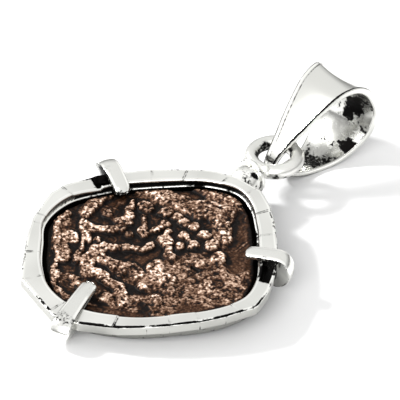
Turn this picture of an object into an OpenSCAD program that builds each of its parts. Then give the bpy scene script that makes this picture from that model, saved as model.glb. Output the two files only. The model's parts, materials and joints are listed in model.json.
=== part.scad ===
// Coin pendant: an old bronze coin held by three prongs in a hammered silver setting,
// with a ring soldered to its top and a tapered saddle-shaped bail on that ring.
// The pendant lies face up, on the lower edge of its cup and the back of the bail.
// Every part is drawn in the pendant's own plane, X across, Y towards the bail and
// Z out of the coin's face, with the middle of the coin over the origin and the back
// of the cup at Z = 0. laid() then tips it onto the surface that it lies on.

/* [Hammered rim] */
// Middle of the rim to its outer wall, on average
frame_r = 8.7; // [7.8:0.1:11]
// Height of the rim's face over the back of the cup
face_h = 1.9; // [1.6:0.05:3]
// Thickness of the rim at its outer wall
rim_t = 0.8; // [0.6:0.05:1.2]
// Bevel along the rim's edges
rim_bevel = 0.08; // [0.04:0.01:0.15]
// How far the hammer strokes tilt the rim's facets
hammer_depth = 0.07; // [0:0.01:0.12]

/* [Cup] */
// Thickness of the cup's wall round the coin
cup_wall = 0.25; // [0.2:0.05:0.4]
// Height of the cup's lip over the back of the cup
lip_h = 1.4; // [1.2:0.05:1.5]
// Step between the cup's lip and the rim's inner wall
lip_step = 0.12; // [0.05:0.01:0.18]
// Width of the ledge that carries the coin from behind
ledge_w = 0.8; // [0.5:0.05:1.5]
// Thickness of that ledge
ledge_t = 0.25; // [0.2:0.05:0.4]

/* [Coin] */
// Middle of the coin to its edge, on average
coin_r = 7.4; // [6.6:0.1:7.5]
// Thickness of the coin at its field
coin_t = 0.95; // [0.7:0.05:1.05]
// Height of the strongest relief over the field
relief_h = 0.22; // [0.1:0.01:0.25]
// Gap between the coin and the cup, all round
coin_gap = 0.08; // [0.05:0.01:0.12]
// Gap between the coin and the ledge under it
seat_gap = 0.03; // [0.02:0.01:0.1]

/* [Prongs] */
// Width of a prong at its tip
prong_w = 1.1; // [0.8:0.05:1.5]
// Thickness of a prong's tip
prong_t = 0.36; // [0.25:0.01:0.5]
// Rise of a prong's bend over the rim's face
prong_rise = 0.36; // [0.3:0.01:0.6]
// How far a prong's bend stands out from the rim's wall
prong_out = 1.0; // [0.6:0.05:1.4]
// Gap between a prong's tip and the top of the relief
tip_gap = 0.04; // [0.02:0.01:0.1]
// Depth of the pockets filed into the rim beside the prongs
pocket_d = 0.55; // [0.2:0.05:0.6]

/* [Knuckle and ring] */
// Diameter of the knuckle that the ring is soldered to
knuckle_d = 2.3; // [2:0.1:3]
// Middle of the pendant to the middle of the knuckle
knuckle_y = 9.7; // [9.5:0.05:10]
// Height of the knuckle's and the ring's middle over the back of the cup
ring_z = 0.88; // [0.7:0.02:1.1]
// Diameter of the stem from the frame to the ring
stem_d = 1.4; // [1.2:0.1:1.8]
// Diameter of the collar round the stem
collar_d = 2.4; // [1.9:0.1:2.8]
// Thickness of the collar
collar_t = 0.35; // [0.25:0.05:0.5]
// Turn of the collar out of square with the stem
collar_turn = 12; // [0:1:15]
// Diameter of the ring's wire
wire_d = 1.0; // [0.8:0.02:1.04]
// Inner diameter of the ring
ring_hole_d = 2.1; // [2:0.02:2.6]

/* [Bail] */
// Length of the bail from its tip to its round end
bail_l = 8.5; // [8:0.1:11]
// Height of the bail's loop
bail_h = 6.5; // [6:0.1:8]
// Width of the bail at its widest
bail_w = 4.75; // [4:0.05:6]
// Thickness of the bail's band where it is widest
bail_t = 0.5; // [0.35:0.01:0.6]
// Thickness of the band at the bail's tip
bail_tip_t = 0.28; // [0.22:0.01:0.3]
// How far the band's middle dips between its flared edges
bail_sag = 0.35; // [0.1:0.05:0.6]
// Gap between the bail's tip and the near side of the ring
tip_room = 0.71; // [0.6:0.01:0.9]
// Turn of the bail to the right, as it lies on the ring
bail_turn = 5; // [0:1:8]

/* [Hidden] */
$fn = 48;

// Corners of the rim's outer wall, where one hammered flat meets the next, each with
// the share of the hammer depth by which the rim's face is lower there at its outer
// and inner edge.
// angle, radius as a share of frame_r, drop of the outer edge, drop of the inner edge
RIM = [
    [8.3, 0.994, 0.3, 0.0], [23, 0.957, 0.9, 0.4], [37.5, 0.936, 0.2, 0.2],
    [55.6, 0.962, 0.8, 0.1], [66.4, 1.002, 0.1, 0.5], [76.4, 1.045, 0.4, 0.0],
    [90, 1.030, 0.5, 0.3], [99, 1.000, 0.2, 0.6], [105.7, 0.968, 1.0, 0.2],
    [117.9, 0.920, 0.2, 0.3], [129.4, 0.898, 0.6, 0.0], [139.8, 0.885, 0.1, 0.2],
    [155.7, 0.930, 0.7, 0.3], [171, 0.977, 0.0, 0.6], [180, 0.997, 0.5, 0.0],
    [197.8, 0.966, 0.2, 0.4], [207.6, 0.947, 0.8, 0.1], [224.8, 0.976, 0.1, 0.3],
    [238.9, 1.048, 0.6, 0.0], [264.5, 1.068, 0.0, 0.4], [276, 1.022, 0.5, 0.1],
    [292.8, 0.946, 0.2, 0.5], [305.7, 0.905, 0.9, 0.0], [316.5, 0.897, 0.3, 0.8],
    [330.8, 0.913, 0.8, 0.2], [343, 0.952, 0.1, 0.0], [357.3, 1.026, 0.6, 0.3]
];

// Edge of the coin, which is worn out of round.
// angle, radius as a share of coin_r
COIN_EDGE = [
    [0, 1.014], [14, 0.973], [38, 0.908], [58, 0.950], [72, 1.027], [84, 1.068],
    [97, 1.014], [117, 0.892], [132, 0.855], [145, 0.865], [160, 0.899],
    [178, 0.986], [197, 1.007], [213, 0.959], [233, 0.982], [250, 1.020],
    [268, 1.007], [290, 0.932], [317, 0.882], [333, 0.919], [350, 0.986]
];
rim_steps = 4;
edge_steps = 104;
coin_rings = 34;

// Raised dots on the coin.
// x and y as shares of coin_r, radius as a share of coin_r, height as a share of relief_h
DOTS = [
    [-0.43, 0.45, 0.065, 1.0], [-0.26, 0.50, 0.062, 1.0], [-0.13, 0.52, 0.045, 0.8],
    [-0.04, 0.50, 0.050, 0.9], [0.06, 0.51, 0.050, 0.9], [0.20, 0.48, 0.055, 1.0],
    [0.34, 0.41, 0.055, 1.0], [0.49, 0.31, 0.065, 1.0], [-0.41, 0.18, 0.038, 0.9],
    [-0.31, 0.06, 0.035, 0.9], [-0.15, 0.37, 0.042, 0.8], [0.07, 0.34, 0.048, 0.9],
    [0.23, 0.30, 0.042, 0.8], [0.15, 0.06, 0.052, 1.0], [-0.49, -0.18, 0.030, 0.8],
    [-0.47, 0.27, 0.045, 0.8], [-0.50, 0.17, 0.050, 0.6], [-0.64, 0.16, 0.045, 0.6],
    [-0.70, -0.31, 0.075, 0.6], [0.21, -0.42, 0.040, 0.7], [0.06, -0.72, 0.060, 0.7],
    [0.43, -0.29, 0.050, 0.6], [0.40, -0.46, 0.055, 0.6], [-0.35, 0.33, 0.022, 0.9],
    [0.15, 0.22, 0.040, 0.6], [0.42, 0.13, 0.050, 0.6]
];

// Raised strokes on the coin, each straight with round ends.
// start x and y, end x and y as shares of coin_r, half width as a share of coin_r,
// height as a share of relief_h
STROKES = [
    [-0.04, 0.20, 0.04, 0.17, 0.045, 1.0], [0.04, 0.17, 0.14, 0.07, 0.035, 0.9],
    [-0.07, 0.08, -0.10, -0.02, 0.035, 1.0], [-0.10, -0.02, -0.20, -0.09, 0.035, 1.0],
    [-0.20, -0.09, -0.37, -0.19, 0.038, 1.0], [-0.37, -0.19, -0.42, -0.29, 0.045, 1.0],
    [-0.42, -0.29, -0.38, -0.45, 0.060, 1.0], [-0.38, -0.45, -0.28, -0.57, 0.055, 0.9],
    [-0.24, -0.50, -0.10, -0.55, 0.045, 1.0], [-0.10, -0.55, 0.06, -0.53, 0.042, 1.0],
    [0.06, -0.53, 0.19, -0.68, 0.045, 0.9], [-0.36, -0.35, -0.16, -0.34, 0.055, 0.9],
    [-0.16, -0.34, -0.03, -0.27, 0.045, 0.9], [-0.03, -0.27, 0.10, -0.31, 0.045, 0.8],
    [-0.07, -0.32, -0.03, -0.42, 0.030, 0.7], [0.13, -0.14, 0.20, -0.22, 0.075, 1.0],
    [0.20, -0.22, 0.34, -0.22, 0.065, 1.0], [-0.43, 0.07, -0.50, 0.00, 0.045, 1.0],
    [-0.50, 0.00, -0.60, -0.06, 0.040, 0.9], [-0.60, -0.06, -0.71, -0.07, 0.038, 0.9],
    [-0.63, -0.13, -0.55, -0.23, 0.032, 0.8], [-0.57, 0.43, -0.53, 0.31, 0.032, 0.9],
    [-0.34, 0.31, -0.25, 0.19, 0.020, 0.8], [-0.27, 0.17, -0.20, 0.15, 0.032, 0.9],
    [-0.13, 0.31, -0.18, 0.23, 0.028, 1.0], [-0.07, 0.31, -0.05, 0.24, 0.020, 0.8],
    [0.09, 0.36, 0.18, 0.31, 0.018, 0.8], [-0.64, 0.60, -0.40, 0.67, 0.060, 0.8],
    [-0.40, 0.67, -0.05, 0.68, 0.075, 0.8], [-0.05, 0.72, 0.16, 0.80, 0.110, 0.8],
    [0.16, 0.75, 0.38, 0.56, 0.055, 0.7], [-0.22, 0.96, 0.16, 1.00, 0.050, 0.6],
    [-0.91, -0.05, -0.92, -0.20, 0.020, 0.9], [-0.92, -0.20, -0.72, -0.46, 0.025, 1.0],
    [-0.72, -0.46, -0.60, -0.58, 0.025, 1.0], [-0.60, -0.58, -0.55, -0.72, 0.025, 0.9],
    [-0.55, -0.72, -0.40, -0.89, 0.025, 0.9], [-0.79, 0.00, -0.62, -0.21, 0.020, 0.9],
    [-0.60, -0.23, -0.53, -0.38, 0.020, 0.9], [-0.52, -0.42, -0.45, -0.52, 0.022, 0.8],
    [-0.66, -0.45, -0.56, -0.55, 0.050, 0.7], [-0.79, 0.36, -0.83, 0.22, 0.055, 0.7],
    [-0.83, 0.20, -0.80, 0.06, 0.055, 0.8], [-0.50, -0.71, -0.44, -0.80, 0.030, 0.7],
    [-0.36, -0.70, -0.24, -0.74, 0.030, 0.5], [-0.38, -0.92, -0.22, -0.92, 0.030, 0.6]
];

// Hollows struck or worn into the coin's field, in the same columns, where the last is
// the depth as a share of relief_h.
HOLLOWS = [
    [0.29, 0.86, 0.40, 0.66, 0.075, 0.5], [0.40, 0.66, 0.57, 0.50, 0.085, 0.5],
    [0.57, 0.50, 0.70, 0.28, 0.085, 0.5], [0.42, 0.05, 0.44, 0.04, 0.045, 0.5],
    [-0.62, 0.33, -0.60, 0.45, 0.050, 0.4], [-0.30, 0.87, -0.12, 0.85, 0.050, 0.4]
];

// The three prongs, each on the rim's wall.
// angle on the rim, turn off the radius, reach inwards from the wall as a share of
// coin_r, height of the tip's underside over its lowest place as a share of prong_t,
// width at the bend as a share of prong_w, bulge as a share of prong_out, height of the foot as a share of face_h,
// extra rise of the bend as a share of prong_rise
PRONGS = [
    [148.8, 3.3, 0.277, 0.00, 1.15, 1.45, 0.45, 0.8],
    [270.6, 15.0, 0.534, 0.00, 1.22, 1.25, 0.25, 0.0],
    [30.0, -8.5, 0.290, 0.47, 1.10, 1.08, -0.20, 0.0]
];

// Pockets beside the prongs.
// angle of the middle, width along the rim as a share of coin_r
POCKETS = [[154.2, 0.175], [20, 0.284]];

// Outer line of the bail's band, seen from its side and from above.
// distance from the tip as a share of bail_l, height over the ring's middle as a share
// of bail_h, half width as a share of half the bail's width
BAIL = [
    [0.000, -0.110, 0.20], [0.033, 0.002, 0.21], [0.156, 0.142, 0.31],
    [0.276, 0.262, 0.44], [0.396, 0.372, 0.55], [0.520, 0.465, 0.66],
    [0.605, 0.508, 0.72], [0.695, 0.522, 0.78], [0.778, 0.508, 0.84],
    [0.848, 0.468, 0.90], [0.925, 0.360, 0.95], [0.983, 0.200, 0.98],
    [0.998, 0.102, 1.00], [0.990, -0.015, 1.00], [0.930, -0.192, 0.96],
    [0.813, -0.335, 0.83], [0.667, -0.428, 0.67], [0.516, -0.455, 0.51],
    [0.335, -0.417, 0.38], [0.186, -0.335, 0.27], [0.045, -0.185, 0.21]
];
bail_steps = 2;
bail_across = 8;

ring_r = (ring_hole_d + wire_d) / 2;
collar_y = knuckle_y + 0.41 * knuckle_d;
ring_y = knuckle_y + 0.56 * knuckle_d + wire_d / 2 + ring_r;
bail_y = ring_y - ring_r + wire_d / 2 + tip_room;
pivot_y = ring_y + ring_r;
relief_top = ledge_t + seat_gap + coin_t + relief_h;
tip_low = max(relief_top, lip_h) + tip_gap;
rim_low = face_h - rim_t;
over = 0.1;

// Row of a closed table of angles that an angle follows
function row_at(t, a, i) = (i < len(t) - 1 && t[i + 1][0] <= a) ? row_at(t, a, i + 1) : i;

// Row i of a closed table, where the rows go on past 360 degrees
function turn_row(t, i) =
    let (n = len(t), turn = floor(i / n), row = t[i - n * turn]) [row[0] + 360 * turn, row[1]];

function slope_at(t, i) =
    let (p = turn_row(t, i - 1), q = turn_row(t, i + 1)) (q[1] - p[1]) / (q[0] - p[0]);

// Smooth value of a closed table at an angle from 0 to 360
function smooth_at(t, a) =
    let (
        i = row_at(t, a, 0),
        p = turn_row(t, i),
        q = turn_row(t, i + 1),
        h = q[0] - p[0],
        s = (a - p[0]) / h
    )
    (2 * s ^ 3 - 3 * s ^ 2 + 1) * p[1] + (s ^ 3 - 2 * s ^ 2 + s) * h * slope_at(t, i)
    + (3 * s ^ 2 - 2 * s ^ 3) * q[1] + (s ^ 3 - s ^ 2) * h * slope_at(t, i + 1);

function polar(a, r) = [r * cos(a), r * sin(a)];

// Distance from the middle to the coin's edge, moved outwards by grow
function edge_r(a, grow = 0) = coin_r * smooth_at(COIN_EDGE, a) + grow;

// Distance from the middle to the flat wall between two corners of the rim
function wall_r(a) =
    let (
        n = len(RIM),
        i = a < RIM[0][0] ? n - 1 : row_at(RIM, a, 0),
        p = RIM[i],
        q = RIM[(i + 1) % n],
        step = (q[0] - p[0] + 360) % 360,
        into = (a - p[0] + 360) % 360
    )
    frame_r * p[1] * q[1] * sin(step) / (p[1] * sin(into) + q[1] * sin(step - into));

module edge_shape(grow) {
    polygon([for (i = [0:edge_steps - 1]) let (a = 360 * i / edge_steps)
        polar(a, edge_r(a, grow))]);
}

// Faces of a closed skin of rings of m points, where the last of the n rings
// meets the first
function ring_faces(n, m) = [for (i = [0:n - 1]) for (j = [0:m - 1])
    let (i2 = (i + 1) % n, j2 = (j + 1) % m)
    [i * m + j, i * m + j2, i2 * m + j2, i2 * m + j]];

// Row of the rim's table at station k, counted in rim_steps to each flat of the wall
function rim_row(k) =
    let (
        n = len(RIM),
        i = floor(k / rim_steps),
        p = RIM[i % n],
        q = RIM[(i + 1) % n],
        s = k / rim_steps - i,
        step = (q[0] - p[0] + 360) % 360,
        a = (p[0] + s * step) % 360
    )
    [a, wall_r(a), p[2] + (q[2] - p[2]) * s, p[3] + (q[3] - p[3]) * s];

// Section of the rim at one station, from the cup over the outer wall to the face
function rim_section(row) =
    let (
        a = row[0],
        outer = row[1],
        inner = edge_r(a, coin_gap + lip_step),
        top_out = face_h - hammer_depth * row[2],
        top_in = face_h - hammer_depth * row[3],
        line = [
            [inner, rim_low], [outer - rim_bevel, rim_low], [outer, rim_low + rim_bevel],
            [outer, top_out - rim_bevel], [outer - rim_bevel, top_out],
            [inner + rim_bevel, top_in], [inner, top_in - rim_bevel]
        ]
    )
    [for (p = line) [p[0] * cos(a), p[0] * sin(a), p[1]]];

// The four-sided patches are twisted by the hammering, so each is cut into triangles
function triangles(faces) = [for (f = faces) each [[f[0], f[1], f[2]], [f[0], f[2], f[3]]]];

module rim() {
    n = len(RIM) * rim_steps;
    points = [for (k = [0:n - 1]) each rim_section(rim_row(k))];
    polyhedron(points, triangles(ring_faces(n, 7)));
}

module cup_blank() {
    linear_extrude(lip_h) edge_shape(coin_gap + cup_wall);
}

// The coin's seat with the opening behind it
module coin_room() {
    translate([0, 0, ledge_t]) linear_extrude(lip_h - ledge_t + tip_gap / 2) edge_shape(coin_gap);
    translate([0, 0, -over]) linear_extrude(lip_h) edge_shape(-ledge_w);
}

// Side of a prong: x runs outwards from the rim's wall, y is the height over the
// back of the cup
function prong_side(row) =
    let (
        reach = row[2] * coin_r,
        tip = tip_low + row[3] * prong_t,
        top = face_h + prong_rise * (1 + row[7]),
        foot = min(row[6] * face_h, rim_low - over),
        root = wall_r(row[0]) - edge_r(row[0], coin_gap + cup_wall / 2),
        middle = (top + foot) / 2,
        half = (top - foot) / 2,
        roll = 0.25 * prong_t
    )
    concat(
        [for (a = [90:-18:-90]) [prong_out * row[5] * cos(a), middle + half * sin(a)]],
        [
            [-root, max(foot, over)], [-root, rim_low + over], [-0.5 * root, rim_low + over],
            [-0.5 * root, tip + roll], [-reach + 3 * roll, tip], [-reach + roll, tip],
            [-reach, tip + roll], [-reach, tip + prong_t - roll],
            [-reach + roll, tip + prong_t], [-prong_w / 2, top - 0.3 * roll]
        ]
    );

// Prong from above: x runs outwards from the rim's wall
function prong_plan(row) =
    let (
        reach = row[2] * coin_r,
        out = prong_out * row[5],
        tip_half = prong_w / 2,
        half = tip_half * row[4],
        round_r = 0.5 * tip_half,
        corner = [for (a = [0:22.5:90]) [round_r * (1 - cos(a)), round_r * (sin(a) - 1)]],
        side = concat(
            [for (p = corner) [p[0] - reach, tip_half + p[1]]],
            [[-0.45 * reach, tip_half + 0.3 * (half - tip_half)], [0, half]],
            [for (a = [30:15:75]) [out * sin(a), half * (0.7 + 0.3 * cos(a))]],
            [[out * 1.01, 0.7 * half]]
        )
    )
    concat(side, [for (i = [len(side) - 1:-1:0]) [side[i][0], -side[i][1]]]);

module at_wall(at, lean) {
    rotate(at) translate([wall_r(at), 0, 0]) rotate(lean) children();
}

module prong(row) {
    at_wall(row[0], row[1]) intersection() {
        rotate([90, 0, 0]) linear_extrude(3 * prong_w, center = true) polygon(prong_side(row));
        translate([0, 0, -face_h]) linear_extrude(3 * face_h) polygon(prong_plan(row));
    }
}

// A pocket leaves the rim's inner and outer edges standing
module pocket(row) {
    inner = edge_r(row[0], coin_gap + lip_step) + 2 * rim_bevel;
    outer = wall_r(row[0]) - 2 * rim_bevel;
    width = row[1] * coin_r;
    rotate(row[0])
        translate([inner, -width / 2, face_h - pocket_d])
            cube([outer - inner, width, pocket_d + over]);
}

module ring() {
    translate([0, ring_y, ring_z]) rotate_extrude() translate([ring_r, 0]) circle(wire_d / 2);
}

module knuckle() {
    stem_from = wall_r(90) - 0.35 * stem_d;
    stem_to = ring_y - ring_r;
    translate([0, knuckle_y, ring_z]) sphere(d = knuckle_d);
    translate([0, stem_from, ring_z]) rotate([-90, 0, 0]) cylinder(d = stem_d, h = stem_to - stem_from);
    translate([0, collar_y, ring_z])
        rotate([-90, 0, -collar_turn])
            cylinder(d = collar_d, h = collar_t, center = true);
}

// Height of a worn, round-topped ridge at distance d from its middle line
function ridge(d, half, h) = let (w = 1.25 * half) d < w ? h * (1 - (d / w) ^ 2) : 0;

function stroke_distance(p, row) =
    let (
        a = [row[0], row[1]],
        b = [row[2], row[3]],
        t = min(1, max(0, (p - a) * (b - a) / ((b - a) * (b - a))))
    )
    norm(p - a - t * (b - a));

// Relief at a place given as shares of coin_r, as a share of relief_h
function relief_at(p) = max(concat(
    [for (row = DOTS) ridge(norm(p - [row[0], row[1]]), row[2], row[3])],
    [for (row = STROKES) ridge(stroke_distance(p, row), row[4], row[5])]
)) - max([for (row = HOLLOWS) ridge(stroke_distance(p, row), row[4], row[5])]);

module coin_body() {
    n = edge_steps;
    under = ledge_t + seat_gap;
    field = under + coin_t;
    rows = [for (k = [coin_rings:-1:1]) k / coin_rings];
    bottom = [for (i = [0:n - 1]) let (a = 360 * i / n, p = polar(a, edge_r(a))) [p[0], p[1], under]];
    face = [for (s = rows) for (i = [0:n - 1])
        let (
            a = 360 * i / n,
            p = polar(a, edge_r(a) * s),
            worn = s == 1 ? 0 : relief_h * relief_at(p / coin_r)
        )
        [p[0], p[1], field + worn]];
    middle = [0, 0, field + relief_h * relief_at([0, 0])];
    points = concat(bottom, face, [middle]);
    last = len(points) - 1;
    skin = [for (k = [0:coin_rings - 1]) for (i = [0:n - 1])
        let (i2 = (i + 1) % n, p = k * n, q = (k + 1) * n) [p + i2, p + i, q + i, q + i2]];
    cap = [for (i = [0:n - 1]) [last, coin_rings * n + (i + 1) % n, coin_rings * n + i]];
    polyhedron(points, concat([[for (i = [0:n - 1]) i]], triangles(skin), cap));
}

// Point of a closed curve through the rows of a table, t steps after row i
function curve_at(t, i, s) =
    let (
        n = len(t),
        a = t[(i + n - 1) % n],
        b = t[i % n],
        c = t[(i + 1) % n],
        d = t[(i + 2) % n]
    )
    0.5 * (2 * b + (c - a) * s + (2 * a - 5 * b + 4 * c - d) * s ^ 2
        + (3 * b - a - 3 * c + d) * s ^ 3);

bail_line = [for (i = [0:len(BAIL) - 1]) for (k = [0:bail_steps - 1])
    let (p = curve_at(BAIL, i, k / bail_steps))
    [bail_y + bail_l * p[0], ring_z + bail_h * p[1], bail_w / 2 * p[2]]];

// Section of the bail's band, from its left edge over the outside and back inside.
// The band dips between its edges, and it gets thinner towards its tip.
function bail_section(i) =
    let (
        n = len(bail_line),
        p = bail_line[i],
        q = bail_line[(i + 1) % n] - bail_line[(i + n - 1) % n],
        inwards = [q[1], -q[0]] / norm([q[0], q[1]]),
        wide = 2 * p[2] / bail_w,
        thick = bail_tip_t + (bail_t - bail_tip_t) * wide,
        place = function (x, depth)
            let (d = bail_sag * wide ^ 2 * (1 - x * x) + depth)
            [p[2] * x, p[0] + inwards[0] * d, p[1] + inwards[1] * d]
    )
    concat(
        [for (k = [0:bail_across]) place(2 * k / bail_across - 1, 0)],
        [for (k = [bail_across:-1:0]) place(2 * k / bail_across - 1, thick)]
    );

// Turns a place on the bail about the far side of the ring, which it hangs on
function turned(x, y) = pivot_y + (y - pivot_y) * cos(bail_turn) - x * sin(bail_turn);

// The pendant tips until the back of the bail touches the surface under the cup
cup_low = -min([for (i = [0:edge_steps - 1]) let (a = 360 * i / edge_steps)
    polar(a, edge_r(a, coin_gap + cup_wall))[1]]);
lay_tilt = max([for (p = bail_line) for (x = [-p[2], p[2]])
    atan2(-p[1], turned(x, p[0]) + cup_low)]);
lay_lift = cup_low * sin(lay_tilt);
lay_back = (bail_y + bail_l - frame_r - prong_out) / 2;

module laid() {
    translate([0, -lay_back, lay_lift]) rotate([lay_tilt, 0, 0]) children();
}

module setting() {
    color("silver") laid() difference() {
        union() {
            difference() {
                rim();
                for (row = POCKETS) pocket(row);
            }
            cup_blank();
            for (row = PRONGS) prong(row);
            knuckle();
            ring();
        }
        coin_room();
    }
}

module coin() {
    color("#5a3a26") laid() coin_body();
}

module bail() {
    n = len(bail_line);
    points = [for (i = [0:n - 1]) each bail_section(i)];
    color("silver") laid()
        translate([0, pivot_y, 0]) rotate(-bail_turn) translate([0, -pivot_y, 0])
            polyhedron(points, triangles(ring_faces(n, 2 * (bail_across + 1))));
}

setting();
coin();
bail();
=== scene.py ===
# %% [markdown]
# # A coin pendant
# A worn bronze coin sits in a hammered silver setting. Three prongs hold it, a ring is
# soldered to the setting's top, and a tapered bail hangs on the ring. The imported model
# gives the true sizes, so this script starts from it and only adds what makes the metal
# look real.

import json
import math

import bpy
import numpy as np
from mathutils import Matrix, Vector


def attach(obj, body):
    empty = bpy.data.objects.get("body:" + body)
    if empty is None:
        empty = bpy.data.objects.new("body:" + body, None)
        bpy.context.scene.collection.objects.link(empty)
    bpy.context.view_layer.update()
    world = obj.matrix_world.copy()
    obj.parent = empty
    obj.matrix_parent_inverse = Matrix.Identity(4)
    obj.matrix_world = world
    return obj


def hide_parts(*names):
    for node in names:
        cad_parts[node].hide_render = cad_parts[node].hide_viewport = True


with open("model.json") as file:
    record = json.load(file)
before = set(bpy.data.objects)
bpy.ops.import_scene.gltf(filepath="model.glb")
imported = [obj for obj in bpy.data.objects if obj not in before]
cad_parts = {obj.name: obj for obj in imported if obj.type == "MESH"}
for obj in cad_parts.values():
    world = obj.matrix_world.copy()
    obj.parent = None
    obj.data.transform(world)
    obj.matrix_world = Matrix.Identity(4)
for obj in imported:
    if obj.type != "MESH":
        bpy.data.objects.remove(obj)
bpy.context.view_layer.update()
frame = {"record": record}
MM = 0.001

# %% [markdown]
# ## The pendant's own plane
# The pendant lies a little tipped, on the edge of its cup and the back of its bail. Every
# piece could be worked out in the room's axes, but a jeweller thinks in the pendant's own
# plane, with the coin flat. So all shapes are made there in millimetres, and one function
# lays them down. The mount on the pendant's back says how far it is tipped.

# %% Lay the pendant down
BACK_POINT = np.array([0.0, -7.15, 0.0])

back = next(m for m in frame["record"]["mounts"] if m["name"] == "back")
lay_tilt = math.atan2(back["axis"][1], -back["axis"][2])
LAY_TURN = np.array([
    [1, 0, 0],
    [0, math.cos(lay_tilt), -math.sin(lay_tilt)],
    [0, math.sin(lay_tilt), math.cos(lay_tilt)],
])
LAY_SHIFT = np.array(back["pos_m"]) / MM - LAY_TURN @ BACK_POINT


def laid(points):
    """Places in the pendant's plane in mm, turned about X by the tilt and shifted, in metres."""
    return (points @ LAY_TURN.T + LAY_SHIFT) * MM


print("tipped by", round(math.degrees(lay_tilt), 2), "degrees")

# %% [markdown]
# ## Roughness that repeats exactly
# Hammer marks, pits and oxide are irregular, yet the script has to give the same pendant
# every time. Random numbers tied to the corners of a lattice of cubes, blended smoothly
# inside each cube, do both. Several sizes of cube on top of each other look like worn
# metal.

# %% Noise on a lattice
def lattice_value(corner, seed):
    """A fixed random number from -1 to 1 for each whole-number corner: its coordinates are
    multiplied by large odd numbers, mixed by shifts, and the low 24 bits are kept."""
    h = (corner * np.array([73856093, 19349663, 83492791])).sum(-1) + seed * 2654435761
    h = h & 0xFFFFFFFF
    h = ((h ^ (h >> 15)) * 2246822519) & 0xFFFFFFFF
    h = ((h ^ (h >> 13)) * 3266489917) & 0xFFFFFFFF
    return ((h ^ (h >> 16)) & 0xFFFFFF) / 0x7FFFFF - 1.0


def noise(points, cell, seed=0):
    """Smooth noise from -1 to 1: the eight lattice numbers round a place, weighted by
    s * s * (3 - 2 * s) along each axis, where s is the place within its cube."""
    scaled = points / cell
    base = np.floor(scaled).astype(np.int64)
    s = scaled - base
    s = s * s * (3 - 2 * s)
    total = np.zeros(points.shape[:-1])
    for corner in np.ndindex(2, 2, 2):
        weight = np.prod(np.where(np.array(corner) == 1, s, 1 - s), axis=-1)
        total += weight * lattice_value(base + np.array(corner), seed)
    return total


def rough_noise(points, cell, layers, seed=0):
    """Noise summed over layers, each with half the cell and 0.6 of the height of the last."""
    return sum(0.6**k * noise(points, cell / 2**k, seed + k) for k in range(layers))


def step(low, high, x):
    """Smooth step from 0 at low to 1 at high: s * s * (3 - 2 * s) of the clipped share."""
    s = np.clip((x - low) / (high - low), 0, 1)
    return s * s * (3 - 2 * s)


def bell(x, middle, width):
    """A bump of height 1 at a middle: e to the power of minus ((x - middle) / width)^2."""
    return np.exp(-(((x - middle) / width) ** 2))


sample = rough_noise(np.random.default_rng(1).random((1000, 3)) * 20, 1.0, 4)
print("noise runs from", round(sample.min(), 2), "to", round(sample.max(), 2))

# %% [markdown]
# ## From a grid of places to a mesh
# Each piece of metal is a closed skin: a section carried round a path. A grid of places is
# enough to make it, because neighbours in the grid are neighbours on the skin. The volume
# inside, added up from its triangles, tells whether the faces look outwards.

# %% Skin a grid
def grid_faces(rows, columns, wrap_rows, wrap_columns):
    """Quads between neighbours of a rows by columns grid, where a wrapped side's last line
    meets its first."""
    i = np.arange(rows if wrap_rows else rows - 1)[:, None]
    j = np.arange(columns if wrap_columns else columns - 1)[None, :]
    i2, j2 = (i + 1) % rows, (j + 1) % columns
    quad = np.stack(np.broadcast_arrays(
        i * columns + j, i2 * columns + j, i2 * columns + j2, i * columns + j2), -1)
    return quad.reshape(-1, 4)


def outward_faces(points, quads, caps):
    """Quads and caps in one list, all turned over if the volume inside, which is the sum
    of a . (b x c) over their triangles, comes out negative."""
    tris = [quads[:, [0, 1, 2]], quads[:, [0, 2, 3]]]
    for cap in map(np.array, caps):
        tris.append(np.stack([np.full(len(cap) - 2, cap[0]), cap[1:-1], cap[2:]], -1))
    centred = points - points.mean(0)
    a, b, c = (centred[np.concatenate(tris)[:, k]] for k in range(3))
    faces = quads.tolist() + [list(cap) for cap in caps]
    inside_out = np.einsum("ij,ij->i", a, np.cross(b, c)).sum() < 0
    return [face[::-1] for face in faces] if inside_out else faces


def add_mesh(name, points, faces, **layers):
    """A smooth object from places in metres and faces, with one value per place for each
    named layer."""
    mesh = bpy.data.meshes.new(name)
    mesh.from_pydata(points.tolist(), [], faces)
    for layer, values in layers.items():
        data = mesh.attributes.new(layer, "FLOAT", "POINT").data
        data.foreach_set("value", np.ascontiguousarray(values, np.float32).ravel())
    mesh.shade_smooth()
    mesh.update()
    piece = bpy.data.objects.new(name, mesh)
    bpy.context.scene.collection.objects.link(piece)
    print(name, "has", len(mesh.vertices), "points and", len(mesh.polygons), "faces")
    return piece


def add_skin(name, grid, open_ends=False, **layers):
    """Skin over a grid of places in the pendant's plane. The grid wraps both ways, or with
    open_ends only its rows do and one face closes each of its first and last columns."""
    rows, columns = grid.shape[:2]
    points = laid(grid.reshape(-1, 3))
    quads = grid_faces(rows, columns, True, not open_ends)
    first = [i * columns for i in range(rows)][::-1]
    last = [i * columns + columns - 1 for i in range(rows)]
    caps = [first, last] if open_ends else []
    return add_mesh(name, points, outward_faces(points, quads, caps), **layers)


# %% [markdown]
# ## Materials: three finishes of two metals
# Sterling silver is nearly white where it is polished and nearly black where it has been
# oxidised on purpose, to make the recesses dark. A thinly tarnished place lies between the
# two. One function makes every silver finish: the skin's own layers say where oxide sits
# and how tarnished the metal is, and fine noise breaks the oxide's border into specks. The
# same layers also hold painted shade, painted highlights and painted dark reflections in
# some places; the rest of what the metal mirrors comes from the lamps, walls and floor.

# %% Colours and nodes
def linear(hex_colour):
    """Linear colour of an sRGB hex value: c / 12.92 for dark parts, else
    ((c + 0.055) / 1.055) to the power 2.4."""
    parts = [int(hex_colour[k:k + 2], 16) / 255 for k in (1, 3, 5)]
    return [c / 12.92 if c <= 0.04045 else ((c + 0.055) / 1.055) ** 2.4 for c in parts] + [1.0]


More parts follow.
